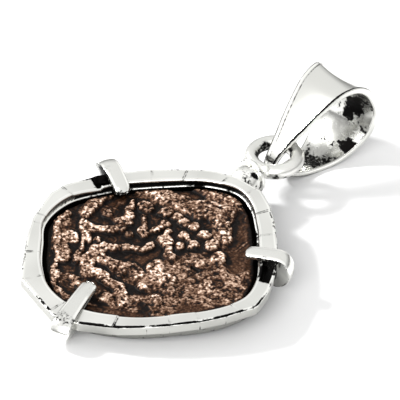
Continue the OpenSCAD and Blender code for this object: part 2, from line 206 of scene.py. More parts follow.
def add_node(tree, kind, inputs=None, **settings):
    """A node of one kind with its settings, each input set to a value or linked from a
    socket."""
    made = tree.nodes.new(kind)
    for name, value in settings.items():
        setattr(made, name, value)
    for name, value in (inputs or {}).items():
        if isinstance(value, bpy.types.NodeSocket):
            tree.links.new(value, made.inputs[name])
        else:
            made.inputs[name].default_value = value
    return made


def new_material(name):
    """An empty material, as (material, node tree, socket of the object's own places)."""
    material = bpy.data.materials.new(name)
    material.use_nodes = True
    tree = material.node_tree
    tree.nodes.clear()
    return material, tree, add_node(tree, "ShaderNodeTexCoord").outputs["Object"]


def shade_with(tree, inputs):
    """Ends a material: a principled shader with its inputs, linked to the output."""
    shader = add_node(tree, "ShaderNodeBsdfPrincipled", inputs)
    add_node(tree, "ShaderNodeOutputMaterial", {"Surface": shader.outputs[0]})


def layer_value(tree, name):
    """Socket that reads one of the skin's own layers."""
    return add_node(tree, "ShaderNodeAttribute", attribute_name=name).outputs["Fac"]


def maths(tree, operation, first, second):
    """Socket with the result of an operation on two numbers or sockets."""
    return add_node(tree, "ShaderNodeMath", {0: first, 1: second}, operation=operation).outputs[0]


def grain_mm(tree, place, size_mm, detail, roughness=0.5):
    """Socket with noise from 0 to 1 whose largest grains have a size in mm."""
    return add_node(tree, "ShaderNodeTexNoise", {
        "Vector": place, "Scale": 1 / (size_mm * MM), "Detail": detail,
        "Roughness": roughness}).outputs["Fac"]


def map_range(tree, value, start, end, low, high, kind="LINEAR"):
    """Socket that goes from low to high as the value goes from start to end."""
    return add_node(tree, "ShaderNodeMapRange", {
        "Value": value, "From Min": start, "From Max": end, "To Min": low, "To Max": high,
    }, interpolation_type=kind).outputs["Result"]


def bump_mm(tree, height, strength, depth_mm):
    """Socket with the normal of a surface roughened by a height to a depth in mm."""
    return add_node(tree, "ShaderNodeBump", {
        "Height": height, "Strength": strength, "Distance": depth_mm * MM}).outputs["Normal"]


def mix_colours(tree, share, first, second):
    """Colour socket that goes from first to second as the share goes from 0 to 1. Each
    colour is a hex value or a socket."""
    first, second = (linear(c) if isinstance(c, str) else c for c in (first, second))
    return add_node(tree, "ShaderNodeMix", {0: share, 6: first, 7: second},
                    data_type="RGBA").outputs[2]


# %% Silver, from polished to oxidised
SPECK_MM, SPECK_BITE = 0.16, 0.9
BLACK_FROM, BLACK_TO, BLACK_ROUGH = -0.12, 0.14, 0.55


def silver(name, rough, scratch_mm, scratch_depth_mm):
    """Sterling silver whose colour goes from polished to grey with the tone layer and to
    black where the oxide layer is more than SPECK_BITE times the noise of the specks, and
    whose surface has fine scratches of one width and depth. Both layers also hold painted
    shade and painted highlights in some places."""
    material, tree, place = new_material(name)
    specks = grain_mm(tree, place, SPECK_MM, 3.0)
    # The oxide layer also holds painted shade, and the tone layer painted shade and painted
    # highlights, where the pieces put them
    dark = maths(tree, "SUBTRACT", layer_value(tree, "oxide"),
                 maths(tree, "MULTIPLY", specks, SPECK_BITE))
    black = map_range(tree, dark, BLACK_FROM, BLACK_TO, 0.0, 1.0, "SMOOTHSTEP")
    metal = mix_colours(tree, layer_value(tree, "tone"), "#f8f8f3", "#6e6e69")
    scratches = grain_mm(tree, place, scratch_mm, 4.0)
    shade_with(tree, {
        "Metallic": 1.0, "Base Color": mix_colours(tree, black, metal, "#0b0a0a"),
        "Roughness": map_range(tree, black, 0.0, 1.0, rough, BLACK_ROUGH),
        "Normal": bump_mm(tree, scratches, 1.0, scratch_depth_mm)})
    return material


# Smooth enough to show the studio, with the soft waves that a hammer leaves
hammered_silver = silver("hammered_sterling_silver", 0.28, 0.5, 0.006)
# Buffed on a wheel, so its reflections are the sharpest
polished_silver = silver("polished_sterling_silver", 0.2, 0.8, 0.004)
# Left as it came from the mould, so its shine is broken up by fine lumps
cast_silver = silver("rough_cast_sterling_silver", 0.32, 0.22, 0.02)
print("silver finishes:", hammered_silver.name, polished_silver.name, cast_silver.name)

# %% [markdown]
# ## Outlines that the coin and the setting share
# The coin is worn out of round, and the smith fitted the cup to it. So both follow one
# table of radii, joined by a smooth curve. The rim's outer wall is a chain of hammered
# flats instead: straight lines between corners.

# %% Coin edge and hammered wall
COIN_R, FRAME_R = 7.4, 8.7
COIN_EDGE = np.array([  # angle, radius as a share of COIN_R
    [0, 1.014], [14, 0.973], [38, 0.908], [58, 0.950], [72, 1.027], [84, 1.068],
    [97, 1.014], [117, 0.892], [132, 0.855], [145, 0.865], [160, 0.899],
    [178, 0.986], [197, 1.007], [213, 0.959], [233, 0.982], [250, 1.020],
    [268, 1.007], [290, 0.932], [317, 0.882], [333, 0.919], [350, 0.986],
])
RIM_CORNERS = np.array([  # angle, radius as a share of FRAME_R
    [8.3, 0.994], [23, 0.957], [37.5, 0.936], [55.6, 0.962], [66.4, 1.002],
    [76.4, 1.045], [90, 1.030], [99, 1.000], [105.7, 0.968], [117.9, 0.920],
    [129.4, 0.898], [139.8, 0.885], [155.7, 0.930], [171, 0.977], [180, 0.997],
    [197.8, 0.966], [207.6, 0.947], [224.8, 0.976], [238.9, 1.048], [264.5, 1.068],
    [276, 1.022], [292.8, 0.946], [305.7, 0.905], [316.5, 0.897], [330.8, 0.913],
    [343, 0.952], [357.3, 1.026],
])


def wrapped(table):
    """A closed table of angles with its last two rows a turn earlier in front and its
    first two rows a turn later behind, so that every angle has neighbours."""
    back_turn, next_turn = table[-2:].copy(), table[:2].copy()
    back_turn[:, 0] -= 360
    next_turn[:, 0] += 360
    return np.concatenate([back_turn, table, next_turn])


def coin_radius(angle, grow=0.0):
    """Distance from the middle to the coin's edge plus grow: a cubic between table rows,
    whose slope at a row is that of the line through its two neighbours."""
    t = wrapped(COIN_EDGE)
    a, v = t[:, 0], t[:, 1]
    slope = np.zeros(len(t))
    slope[1:-1] = (v[2:] - v[:-2]) / (a[2:] - a[:-2])
    angle = np.mod(angle, 360)
    i = np.searchsorted(a, angle, side="right") - 1
    h = a[i + 1] - a[i]
    s = (angle - a[i]) / h
    value = ((2 * s**3 - 3 * s**2 + 1) * v[i] + (s**3 - 2 * s**2 + s) * h * slope[i]
             + (3 * s**2 - 2 * s**3) * v[i + 1] + (s**3 - s**2) * h * slope[i + 1])
    return COIN_R * value + grow


def wall_radius(angle):
    """Distance from the middle to the straight line between the two corners beside an
    angle: r1 * r2 * sin(a2 - a1) / (r1 * sin(a - a1) + r2 * sin(a2 - a))."""
    t = wrapped(RIM_CORNERS)
    angle = np.mod(angle, 360)
    i = np.searchsorted(t[:, 0], angle, side="right") - 1
    a1, a2 = t[i, 0], t[i + 1, 0]
    r1, r2 = t[i, 1] * FRAME_R, t[i + 1, 1] * FRAME_R
    into, left, whole = (np.radians(x) for x in (angle - a1, a2 - angle, a2 - a1))
    return r1 * r2 * np.sin(whole) / (r1 * np.sin(into) + r2 * np.sin(left))


def angle_from(angle, start):
    """Angle from a start in degrees, as a value from -180 to 180."""
    return np.mod(angle - start + 180, 360) - 180


def spun(x, y, degrees):
    """The pair x and y after a turn about the origin."""
    t = math.radians(degrees)
    return x * math.cos(t) - y * math.sin(t), x * math.sin(t) + y * math.cos(t)


def around(angle, radius, height):
    """Places at angles in degrees, radii and heights, as one array."""
    a = np.radians(angle)
    return np.stack(np.broadcast_arrays(radius * np.cos(a), radius * np.sin(a), height), -1)


print("coin", round(2 * COIN_R, 1), "mm across, wall at 0 degrees", wall_radius(0.0).round(2))

# %% [markdown]
# ## Touches of oxide and polish
# Oxide stays where the polishing wheel never reached: round the feet of the prongs, in the
# pockets beside them and inside the bail. Here and there the wheel slipped in and left a
# cleaner spot. The places were chosen to lie where the photograph has them. A short table
# of places says where, and each row paints over the ones before, with an edge that noise
# makes uneven. Every silver piece but the cup and the solder bead asks the same function.

# %% Table of touches
PLAIN_TONE = 0.29
TOUCHES = np.array([  # x, y, z, radius in mm, oxide, tone
    [-0.1, -9.5, 2.2, 0.80, 0.44, 0.30], [0.6, -9.3, 2.2, 0.40, 0.48, 0.20],
    [0.6, -10.0, 0.9, 1.00, 0.12, 0.15], [0.83, -9.25, 1.3, 0.28, 1.50, 0.30],
    [-0.2, -6.2, 1.9, 0.50, 0.25, 0.30],
    [-6.9, 3.4, 1.5, 0.75, 1.30, 0.60], [-7.5, 3.4, 1.9, 0.40, 1.00, 0.60],
    [-5.05, 2.9, 1.65, 0.45, 0.58, 0.20], [7.2, 2.8, 1.4, 0.70, 1.40, 0.60],
    [6.5, 3.1, 1.9, 0.50, 0.56, 0.10], [7.8, 3.7, 0.8, 0.60, 0.20, 0.25],
    [8.1, 2.3, 1.9, 0.35, 0.10, 0.00], [0.78, 9.91, 1.7, 0.26, 0.85, 0.30],
    [0.38, 9.23, 1.85, 0.28, 0.62, 0.10], [0.0, 9.4, 2.0, 0.50, 0.34, 0.00],
    [0.75, 8.9, 1.5, 0.40, 0.50, 0.10], [-1.1, 13.4, 1.0, 0.40, 0.55, 0.40],
    [-0.9, 12.1, 1.0, 0.40, 0.62, 0.30], [1.3, 11.5, 0.8, 0.30, 0.60, 0.20],
    [1.9, 11.9, 0.6, 0.30, 0.62, 0.20],
])


def touched(points, oxide, tone, table=TOUCHES, uneven=0.35):
    """Oxide and tone after painting the table's rows in order: each pulls both towards its
    own values by exp(-(distance / radius)^4), with the distance made uneven by noise."""
    ripple = 1 + uneven * noise(points, 0.4, 5) + 0.5 * uneven * noise(points, 0.15, 6)
    for x, y, z, radius, row_oxide, row_tone in table:
        away = np.linalg.norm(points - np.array([x, y, z]), axis=-1) * ripple
        share = np.exp(-np.minimum(away / radius, 3) ** 4)
        oxide = oxide + share * (row_oxide - oxide)
        tone = tone + share * (row_tone - tone)
    return oxide, tone


print("touches:", len(TOUCHES))

# %% [markdown]
# ## Hammered rim
# The rim is a flat band that the smith soldered round the cup and then planished: each
# stroke left a nearly flat patch on the face or the wall. A boolean of many cutters would
# work, but a height that is worked out per patch is simpler: every patch is a plane with
# its own tilt, and next to its border one plane blends into the other within half a degree.
# All patches are the same metal, with only a slow unevenness in its tarnish. Their tilts
# are what makes one brighter than the next.

# %% Facets of the rim's face
FACE_H, RIM_T, COIN_GAP, LIP_STEP = 1.9, 0.8, 0.08, 0.12
FACE_PATCHES = np.array([  # start angle, drop, tilt inwards, tilt along the rim
    [14, 0.02, 0.03, 0.01], [47, 0.03, -0.02, -0.02], [64, 0.02, 0.03, 0.01],
    [79, 0.03, 0.02, 0.00], [93, 0.05, 0.06, 0.03], [105.5, 0.03, 0.02, 0.02],
    [112, 0.02, -0.02, 0.01], [129, 0.02, -0.03, -0.01], [158, 0.04, 0.08, 0.04],
    [174, 0.02, 0.00, -0.03], [195, 0.01, 0.04, 0.01], [201, 0.01, 0.02, -0.01],
    [222, 0.02, -0.02, 0.02], [240, 0.03, 0.02, -0.02], [262, 0.02, -0.02, 0.01],
    [290.5, 0.02, 0.04, 0.01], [317, 0.05, -0.06, 0.04], [331, 0.02, 0.02, -0.02],
    [350, 0.02, -0.01, 0.01], [356, 0.01, -0.03, 0.01],
])
POCKETS = np.array([[154.2, 1.3], [20.0, 2.1]])  # angle of the middle, width in mm


def patch_shares(angle, starts, blend=0.5):
    """How much of each patch is at each angle: 1 inside, 0 outside, smooth over the blend
    on both sides of a border. The shares of all patches add up to 1."""
    ends = np.append(starts[1:], starts[0] + 360)
    into = angle_from(angle[..., None], starts)
    rise = step(-blend, blend, into)
    out = angle_from(angle[..., None], ends)
    fall = 1 - step(-blend, blend, out)
    whole = np.mod(angle[..., None] - starts, 360) < np.mod(ends - starts, 360)
    near_start, near_end = np.abs(into) < blend, np.abs(out) < blend
    share = np.where(near_start, rise, np.where(near_end, fall, whole.astype(float)))
    return share / share.sum(-1, keepdims=True)


def face_height(angle, radius):
    """Height of the rim's face: the planes of its patches, weighted by their shares, with a
    ripple of 0.01 mm."""
    starts, drop, tilt_in, tilt_along = FACE_PATCHES.T
    ends = np.append(starts[1:], starts[0] + 360)
    middle = (starts + ends) / 2
    along = np.radians(angle_from(angle[..., None], middle)) * 8.2
    across = radius[..., None] - 8.0
    planes = -drop + tilt_in * across + tilt_along * along
    z = FACE_H - 0.02 + (patch_shares(angle, starts) * planes).sum(-1)
    z += 0.012 * noise(around(angle, radius, 0.0), 1.3, 11)
    return np.minimum(z, FACE_H)


angles = np.linspace(0, 360, 900, endpoint=False)
print("face patches:", len(FACE_PATCHES), "height at 0 degrees",
      face_height(np.array([0.0]), np.array([8.2])).round(3))

# %% Section of the rim
# The wall's grey tone is painted shade, and the lighter tone along its top edge is a painted
# highlight
WALL_TONE, WALL_EDGE_TONE = 0.6, 0.05


def rounded_section(flats, corner_steps):
    """Runs round a rectangle's edge: for each of its sides a row of shares, and between two
    sides a quarter circle. Gives for each place the shares along both sides of the
    rectangle, and how far it is drawn in by a corner, in units of the corner's radius."""
    corners = [(0, 0), (1, 0), (1, 1), (0, 1)]
    rows = []
    for k in range(4):
        start, end = np.array(corners[k]), np.array(corners[(k + 1) % 4])
        ahead = end - start
        inward = np.array([-ahead[1], ahead[0]])
        for t in np.linspace(0, 1, flats[k]):
            rows.append([*(start + t * ahead), *(ahead * (1 - 2 * t))])
        turn_from = np.radians(np.linspace(0, 90, corner_steps + 2)[1:-1])
        for a in turn_from:
            draw = -ahead * (1 - np.sin(a)) + inward * (1 - np.cos(a))
            rows.append([*end, *draw])
    return np.array(rows)


SECTION = rounded_section([4, 24, 18, 8], 6)
CORNER_R = 0.11


def rim_grid():
    """Places of the rim's skin: at each angle the rounded section is stretched between the
    cup and the wall, and between the rim's underside and its face."""
    angle = angles[:, None]
    share_r, share_z, draw_r, draw_z = SECTION.T
    inner = coin_radius(angle, COIN_GAP + LIP_STEP)
    outer = wall_radius(angle + 0.35) * 0.5 + wall_radius(angle - 0.35) * 0.5
    outer = outer + 0.012 * noise(around(angle, 8.6, 0.0), 1.1, 3)
    radius = inner + (outer - inner) * share_r + CORNER_R * draw_r
    low = FACE_H - RIM_T
    full_angle = np.broadcast_to(angle, radius.shape)
    top = face_height(full_angle, radius)
    height = low + (top - low) * share_z + CORNER_R * draw_z
    lean = 0.05 * noise(around(angle, 8.6, 0.0), 2.2, 8) * share_r
    radius = radius - lean * (height - low)
    level = (height - low) / (FACE_H - low)
    return full_angle, radius, height, level, share_r, share_z


rim_angle, rim_radius, rim_height, level, share_r, share_z = rim_grid()
print("rim section has", len(SECTION), "places")

# %% [markdown]
# The pockets beside two prongs are filed into the face. They are made by lowering the same
# height inside their outline. Oxide fills them, the inner wall and an uneven seam along the
# edge between face and wall, where the hammer folded the metal. The whole wall is greyed
# with one tone as painted shade, and its top edge is lightened as a painted highlight; both
# edges of the face are lightened as painted highlights too. Creases between flats hold a
# thin line of oxide.

# %% Pockets and oxide of the rim
POCKET_D, POCKET_EDGE = 0.52, 0.16


def pocket_depth(angle, radius):
    """Depth of the pockets: each is a box across the rim between its two edges, with
    sides that slope over 0.08 mm."""
    depth = np.zeros(angle.shape)
    inner = coin_radius(angle, COIN_GAP + LIP_STEP) + POCKET_EDGE
    outer = wall_radius(angle) - POCKET_EDGE
    for middle, width in POCKETS:
        off = np.abs(np.radians(angle_from(angle, middle))) * radius
        inside = (step(-0.08, 0.0, width / 2 - off) * step(0.0, 0.08, radius - inner)
                  * step(0.0, 0.08, outer - radius))
        depth = np.maximum(depth, POCKET_D * inside)
    return depth


on_face = step(0.9, 1.0, share_z)
pocket = pocket_depth(rim_angle, rim_radius)
rim_height = rim_height - on_face * pocket
rim_places = around(rim_angle, rim_radius, rim_height)
print("pockets go down", pocket.max().round(2), "mm")


# %% Tone and oxide of the rim
def border_mm(angle, starts):
    """Distance along the rim in mm to the nearest border between patches."""
    return np.radians(np.abs(angle_from(angle[..., None], starts)).min(-1)) * FRAME_R


def between(angle, start, end, blend=3.0):
    """1 between two angles, else 0, smooth over the blend at both ends."""
    return step(start - blend, start + blend, angle) - step(end - blend, end + blend, angle)


# Where the inner wall and the lip hold less oxide, and where the seam holds more
CLEANER_SIDE = (172, 290)
WEAK_SEAM, STRONG_SEAM = (240, 262), (276, 352)
fleck = noise(rim_places, 0.3, 9)
face_line = bell(border_mm(rim_angle, FACE_PATCHES[:, 0]), 0.06, 0.05)
face_tone = PLAIN_TONE + 0.35 * face_line * np.clip(0.3 + fleck, 0, 1)
# Painted highlight: both edges of the face are lightened
face_rim = bell(share_r, 0.94, 0.05) + bell(share_r, 0.05, 0.04)
face_tone = face_tone - 0.22 * face_rim + 0.10 * noise(rim_places, 2.0, 10)
# Painted shade greys the wall below its top edge, and a painted highlight lightens the edge
window = step(0.86, 0.80, level + 0.03 * fleck)
wall_tone = WALL_EDGE_TONE + (WALL_TONE - WALL_EDGE_TONE) * window
wall_tone = wall_tone + 0.10 * noise(rim_places, 2.0, 13) * window
on_wall = (share_r > 0.9) & (level < 0.97)
rim_tone = np.where(on_wall, wall_tone, face_tone)
inner_wall = (share_r < 0.01) & (share_z < 0.999)
rim_oxide = np.where(
    inner_wall, 1.1 - 0.7 * between(rim_angle, *CLEANER_SIDE), 0.12 + 0.06 * fleck)
rim_oxide = np.maximum(rim_oxide, 1.8 * pocket / POCKET_D * on_face)
seam_run = 0.5 * between(rim_angle, *WEAK_SEAM) + between(rim_angle, *STRONG_SEAM) * (
    0.8 + 0.45 * noise(rim_places, 1.6, 22))
seam_run = np.maximum(seam_run, 0.33)
seam = bell(level, 0.91, 0.05) * (share_r > 0.9)
seam = seam * seam_run * (1.5 + 0.9 * noise(rim_places, 0.35, 21))
crease = 0.55 * face_line * on_face * (0.55 + 1.1 * fleck)
wall_line = bell(border_mm(rim_angle, RIM_CORNERS[:, 0]), 0, 0.05)
crease = np.maximum(crease, wall_line * on_wall * (0.40 + 0.5 * fleck))
rim_oxide = np.maximum.reduce([rim_oxide, seam, crease])
rim_oxide, rim_tone = touched(rim_places, rim_oxide, rim_tone)
rim = add_skin("rim", rim_places, oxide=rim_oxide, tone=np.clip(rim_tone, 0, 1))

# %% [markdown]
# ## Cup
# Inside the rim a thin wall holds the coin, with a ledge behind it, so that the back stays
# open. Its lip catches the light as a fine bright line between the black wall above and the
# coin. Its own section is a loop of corners, carried round the coin.

# %% Cup section
CUP_WALL, LIP_H, LEDGE_W, LEDGE_T = 0.25, 1.4, 0.8, 0.25
CUP_SECTION = np.array([  # distance from the coin's edge, height
    [-LEDGE_W, 0.03], [-LEDGE_W + 0.03, 0.0], [COIN_GAP + CUP_WALL - 0.05, 0.0],
    [COIN_GAP + CUP_WALL, 0.05], [COIN_GAP + CUP_WALL, LIP_H - 0.06],
    [COIN_GAP + CUP_WALL - 0.04, LIP_H - 0.01], [COIN_GAP + 0.13, LIP_H],
    [COIN_GAP + 0.03, LIP_H - 0.015], [COIN_GAP, LIP_H - 0.05], [COIN_GAP, LEDGE_T + 0.03],
    [COIN_GAP - 0.03, LEDGE_T], [-LEDGE_W + 0.03, LEDGE_T], [-LEDGE_W, LEDGE_T - 0.03],
])


def dense_loop(corners, spacing):
    """A closed line through corners, with places added about a spacing apart."""
    rows = []
    for start, end in zip(corners, np.roll(corners, -1, 0)):
        count = max(1, int(np.linalg.norm(end - start) / spacing))
        rows.append(start + (end - start) * (np.arange(count) / count)[:, None])
    return np.concatenate(rows)


cup_line = dense_loop(CUP_SECTION, 0.12)
cup_angle = np.linspace(0, 360, 540, endpoint=False)[:, None]
cup_radius = coin_radius(cup_angle) + cup_line[:, 0]
cup_height = np.broadcast_to(cup_line[:, 1], cup_radius.shape)
cup_places = around(cup_angle, cup_radius, cup_height)
lip = (cup_line[:, 1] > LIP_H - 0.08) & (cup_line[:, 0] > -0.1)
outside = cup_line[:, 0] > COIN_GAP + CUP_WALL - 0.03
bright_side = between(cup_angle, 165, 290)
cup_oxide = np.where(lip, 0.42 - 0.25 * bright_side + 0.35 * noise(cup_places, 0.9, 31), 1.1)
cup_oxide = np.where(outside & ~lip, 0.3 + 0.25 * noise(cup_places, 0.5, 32), cup_oxide)
# Painted shade: off its lip the cup is greyed to match the wall's painted shade
cup_tone = np.where(lip, 0.05, 0.75) + 0 * cup_radius
cup = add_skin("cup", cup_places, oxide=cup_oxide, tone=cup_tone)

# %% [markdown]
# ## Prongs
# Each prong is a flat bar that starts at the cup, swells out round the rim, bends over it
# and ends on the coin. Seen from its side it is one outline, so the outline is worked out
# first and then carried across the bar's width. Near both sides it shrinks along a quarter
# circle, which rolls the edges the way a file and a polishing wheel do.

# %% Side of a prong
PRONG_W, PRONG_T, PRONG_RISE, PRONG_OUT = 1.1, 0.36, 0.36, 1.0
TIP_LOW = 1.49
PRONGS = {  # angle, turn, reach, tip lift, width at the bend, bulge, foot, extra rise
    "prong_left": [148.8, 3.3, 2.05, 0.00, 1.15, 1.45, 0.45, 0.8],
    "prong_low": [270.6, 15.0, 3.95, 0.00, 1.22, 1.25, 0.25, 0.0],
    "prong_right": [30.0, -8.5, 2.15, 0.17, 1.10, 1.08, -0.20, 0.0],
}


def curve(a, b, c, d, steps):
    """Places at shares s of the way from b to c, whose neighbours are a and d: half of
    2b + (c-a)s + (2a-5b+4c-d)s^2 + (3b-a-3c+d)s^3."""
    a, b, c, d = (p[:, None] for p in (a, b, c, d))
    s = (np.arange(steps) / steps)[None, :, None]
    places = 0.5 * (2 * b + (c - a) * s + (2 * a - 5 * b + 4 * c - d) * s**2
                    + (3 * b - a - 3 * c + d) * s**3)
    return places.reshape(-1, b.shape[-1])


def smooth_line(points, steps):
    """The curve through a row of points, with each end's neighbour mirrored beyond it."""
    p = np.concatenate([[2 * points[0] - points[1]], points, [2 * points[-1] - points[-2]]])
    return np.concatenate([curve(p[:-3], p[1:-2], p[2:-1], p[3:], steps), points[-1:]])


def closed_line(points, steps):
    """The curve through a closed row of points."""
    return curve(*(np.roll(points, k, 0) for k in (1, 0, -1, -2)), steps)


def prong_outline(row):
    """Closed side outline: the smooth top from the tip over the bend, half an ellipse
    round the outside to the foot, and straight lines back under the rim to the tip."""
    angle, turn, reach, lift, flare, bulge, foot_share, rise = row
    tip, top, low = TIP_LOW + lift, FACE_H + PRONG_RISE * (1 + rise), FACE_H - RIM_T
    foot = min(foot_share * FACE_H, low - 0.1)
    half = (top - foot) / 2
    roll = 0.25 * PRONG_T
    a = np.radians(np.arange(90, -91, -15))
    bend = np.stack([PRONG_OUT * bulge * np.cos(a), (top + foot) / 2 + half * np.sin(a)], -1)
    start = np.array([
        [-reach, tip + roll], [-reach, tip + PRONG_T - roll], [-reach + roll, tip + PRONG_T],
        [-(reach + PRONG_W) / 2, (tip + PRONG_T + top) / 2], [-PRONG_W / 2, top - 0.3 * roll],
    ])
    over = smooth_line(np.concatenate([start, bend]), 5)
    root = wall_radius(angle) - coin_radius(angle, COIN_GAP + CUP_WALL / 2)
    under = np.array([
        [-root, max(foot, 0.1)], [-root, low + 0.1], [-0.5 * root, low + 0.1],
        [-0.5 * root, tip + roll], [-reach + 3 * roll, tip], [-reach + roll, tip],
    ])
    return np.concatenate([over, under])


print("outline of the lower prong has", len(prong_outline(PRONGS["prong_low"])), "points")

# %% Carry the outline across the bar
ROLL, CROWN = 0.15, 0.05


def prong_half_width(row, line):
    """Half the prong's width at each place of its outline: it widens from the tip to the
    bend, narrows towards the foot, and has round corners at the tip."""
    x, z = line.T
    reach, flare = row[2], row[4]
    tip = PRONG_W / 2
    bend = tip * flare
    bar = np.interp(x, [-reach, -0.45 * reach, 0], [tip, tip + 0.3 * (bend - tip), bend])
    down = step(0.3, 1.0, (z.max() - z) / (z.max() - z.min()))
    leg = (x > 0) | (z < FACE_H - RIM_T + 0.11)
    corner = 0.5 * tip
    into = np.clip((corner - reach - x) / corner, 0, 1)
    return np.where(leg, bend * (1 - 0.3 * down), bar) - corner * (1 - np.sqrt(1 - into**2))


def prong_grid(row):
    """Places of a prong's skin: the outline at each share of the width, drawn in by
    CROWN * share^2 and near both sides by ROLL * (1 - sqrt(1 - t^2)), where t runs from 0
    to 1 over the rolled edge."""
    line = prong_outline(row)
    ahead = np.roll(line, -1, 0) - np.roll(line, 1, 0)
    outwards = np.stack([-ahead[:, 1], ahead[:, 0]], -1)
    outwards /= np.linalg.norm(outwards, axis=1, keepdims=True)
    edge = np.sin(np.radians(np.linspace(0, 90, 7)))
    share = np.concatenate([-np.ones(7), np.linspace(-1, 1, 11)[1:-1], np.ones(7)])
    offset = np.concatenate([-edge[::-1], np.zeros(9), edge])
    across = share * (prong_half_width(row, line)[:, None] - ROLL) + ROLL * offset
    inset = CROWN * share**2 + ROLL * (1 - np.sqrt(1 - offset**2))
    side = line[:, None, :] - outwards[:, None, :] * inset[None, :, None]
    x, y = spun(side[..., 0], across, row[0] + row[1])
    return np.stack([x, y, side[..., 1]], -1) + around(row[0], wall_radius(row[0]), 0.0)


# From the side inwards: its edge and the rolled corner darkened as painted shade, and a band
# lightened as a painted highlight
BAND_ENDS, BAND_OXIDE, BAND_TONE = (1, 3, 7), (0.20, 0.56, 0.1), (0.75, 0.3, 0.0)
prongs = []
for prong_name, prong_row in PRONGS.items():
    places = prong_grid(prong_row)
    places[..., 2] += 0.012 * noise(places, 0.8, 41)
    columns = places.shape[1]
    from_middle = np.hypot(places[..., 0], places[..., 1])
    dark = 0.9 * step(1.56, 1.44, places[..., 2]) * (from_middle < 7.6)
    from_side = np.minimum(np.arange(columns), np.arange(columns)[::-1])
    bands = [from_side < end for end in BAND_ENDS]
    # Painted shade along the prong's sides and a painted highlight band inside them
    dark = np.maximum(dark, np.select(bands, BAND_OXIDE, 0.1))
    dark, tone = touched(places, dark, np.select(bands, BAND_TONE, 0.26) + 0 * dark)
    prongs.append(add_skin(prong_name, places, open_ends=True, oxide=dark, tone=tone))

# %% [markdown]
# ## Knuckle and collar
# The knuckle was cast rough: a lump with pits that nobody polished, and a thin disc round
# its stem, soldered a little out of square. Both are turned shapes, a radius along an axis,
# so they are lathed on a grid and then made lumpy with noise along their normals.

# %% Lathe along the stem
RING_Z, KNUCKLE_Y, KNUCKLE_D, COLLAR_TURN = 0.88, 9.7, 2.3, 12.0
COLLAR_Y = KNUCKLE_Y + 0.41 * KNUCKLE_D
WIRE_D, RING_HOLE_D = 1.0, 2.1
RING_R = (RING_HOLE_D + WIRE_D) / 2
RING_Y = KNUCKLE_Y + 0.56 * KNUCKLE_D + WIRE_D / 2 + RING_R


def lathe(profile, steps, sides, turn=0.0, origin=(0.0, 0.0, 0.0)):
    """Places of a turned shape: a profile of (distance along Y, radius) points joined by a
    smooth curve, carried round the Y axis, turned about Z and moved to its origin."""
    line = smooth_line(np.array(profile, float), steps)
    a = np.linspace(0, 2 * np.pi, sides, endpoint=False)[:, None]
    along, radius = line[:, 0], np.maximum(line[:, 1], 1e-3)
    x, z = radius * np.cos(a), radius * np.sin(a)
    return np.stack([*spun(x, along, turn), z], -1) + np.array(origin)


def lumpy(places, centre, cell, height, seed):
    """Places moved away from or towards a centre by rough noise of a given height."""
    away = places - np.array(centre)
    length = np.maximum(np.linalg.norm(away, axis=-1, keepdims=True), 1e-6)
    return places + away / length * height * rough_noise(places, cell, 3, seed)[..., None]


knuckle_profile = [
    (8.45, 0.55), (8.62, 0.82), (8.95, 1.0), (9.35, 1.12), (9.75, 1.14), (10.15, 1.05),
    (10.45, 0.86), (10.8, 0.72), (11.1, 0.66), (11.36, 0.62),
]
places = lathe(knuckle_profile, 6, 96, origin=(0, 0, RING_Z))
places = lumpy(places, (0, 9.7, RING_Z), 0.7, 0.055, 51)
dark, tone = touched(places, 0.22 + 0.42 * noise(places, 0.3, 57),
                     np.clip(0.12 + 0.35 * noise(places, 0.5, 58), 0, 1))
# Painted shade: the knuckle's lower half is darkened
dark = dark + 0.6 * step(0.9, 0.3, places[..., 2])
knuckle = add_skin("knuckle", places, open_ends=True, oxide=dark, tone=tone)
collar_profile = [
    (-0.17, 0.55), (-0.18, 0.95), (-0.15, 1.12), (-0.05, 1.19), (0.06, 1.19), (0.15, 1.12),
    (0.18, 0.95), (0.17, 0.55),
]
places = lathe(collar_profile, 4, 96, -COLLAR_TURN, (0, COLLAR_Y, RING_Z))
places = lumpy(places, (0, COLLAR_Y, RING_Z), 0.6, 0.03, 61)
dark, tone = touched(places, 0.28 + 0.35 * noise(places, 0.25, 62),
                     np.clip(0.1 + 0.2 * noise(places, 0.5, 63), 0, 1))
collar = add_skin("collar", places, open_ends=True, oxide=dark, tone=tone)

# %% [markdown]
# ## Ring
# The ring is round wire, bent and soldered into the collar. A hand-bent ring is never quite
# true, so a slow wave is laid on the wire's thickness round the ring. The bead of solder
# that closes it is a small lump beside the collar.

# %% Bend the wire
def ring_grid():
    """Places of a torus: a circle of the wire's radius, slightly uneven, carried round a
    circle of the ring's radius."""
    u = np.linspace(0, 360, 240, endpoint=False)[:, None]
    v = np.linspace(0, 360, 48, endpoint=False)[None, :]
    wire = WIRE_D / 2 * (1 - 0.015 * (1 + noise(around(u, 2.0, 0.0), 0.9, 71)))
    radius = RING_R + wire * np.cos(np.radians(v))
    height = RING_Z + wire * np.sin(np.radians(v))
    return around(u, radius, height) + np.array([0, RING_Y, 0])


places = ring_grid()
middle = np.array([0, RING_Y, RING_Z])
from_middle = np.linalg.norm((places - middle)[..., :2], axis=-1)
inner_edge = step(RING_R - 0.15, RING_R - 0.42, from_middle)
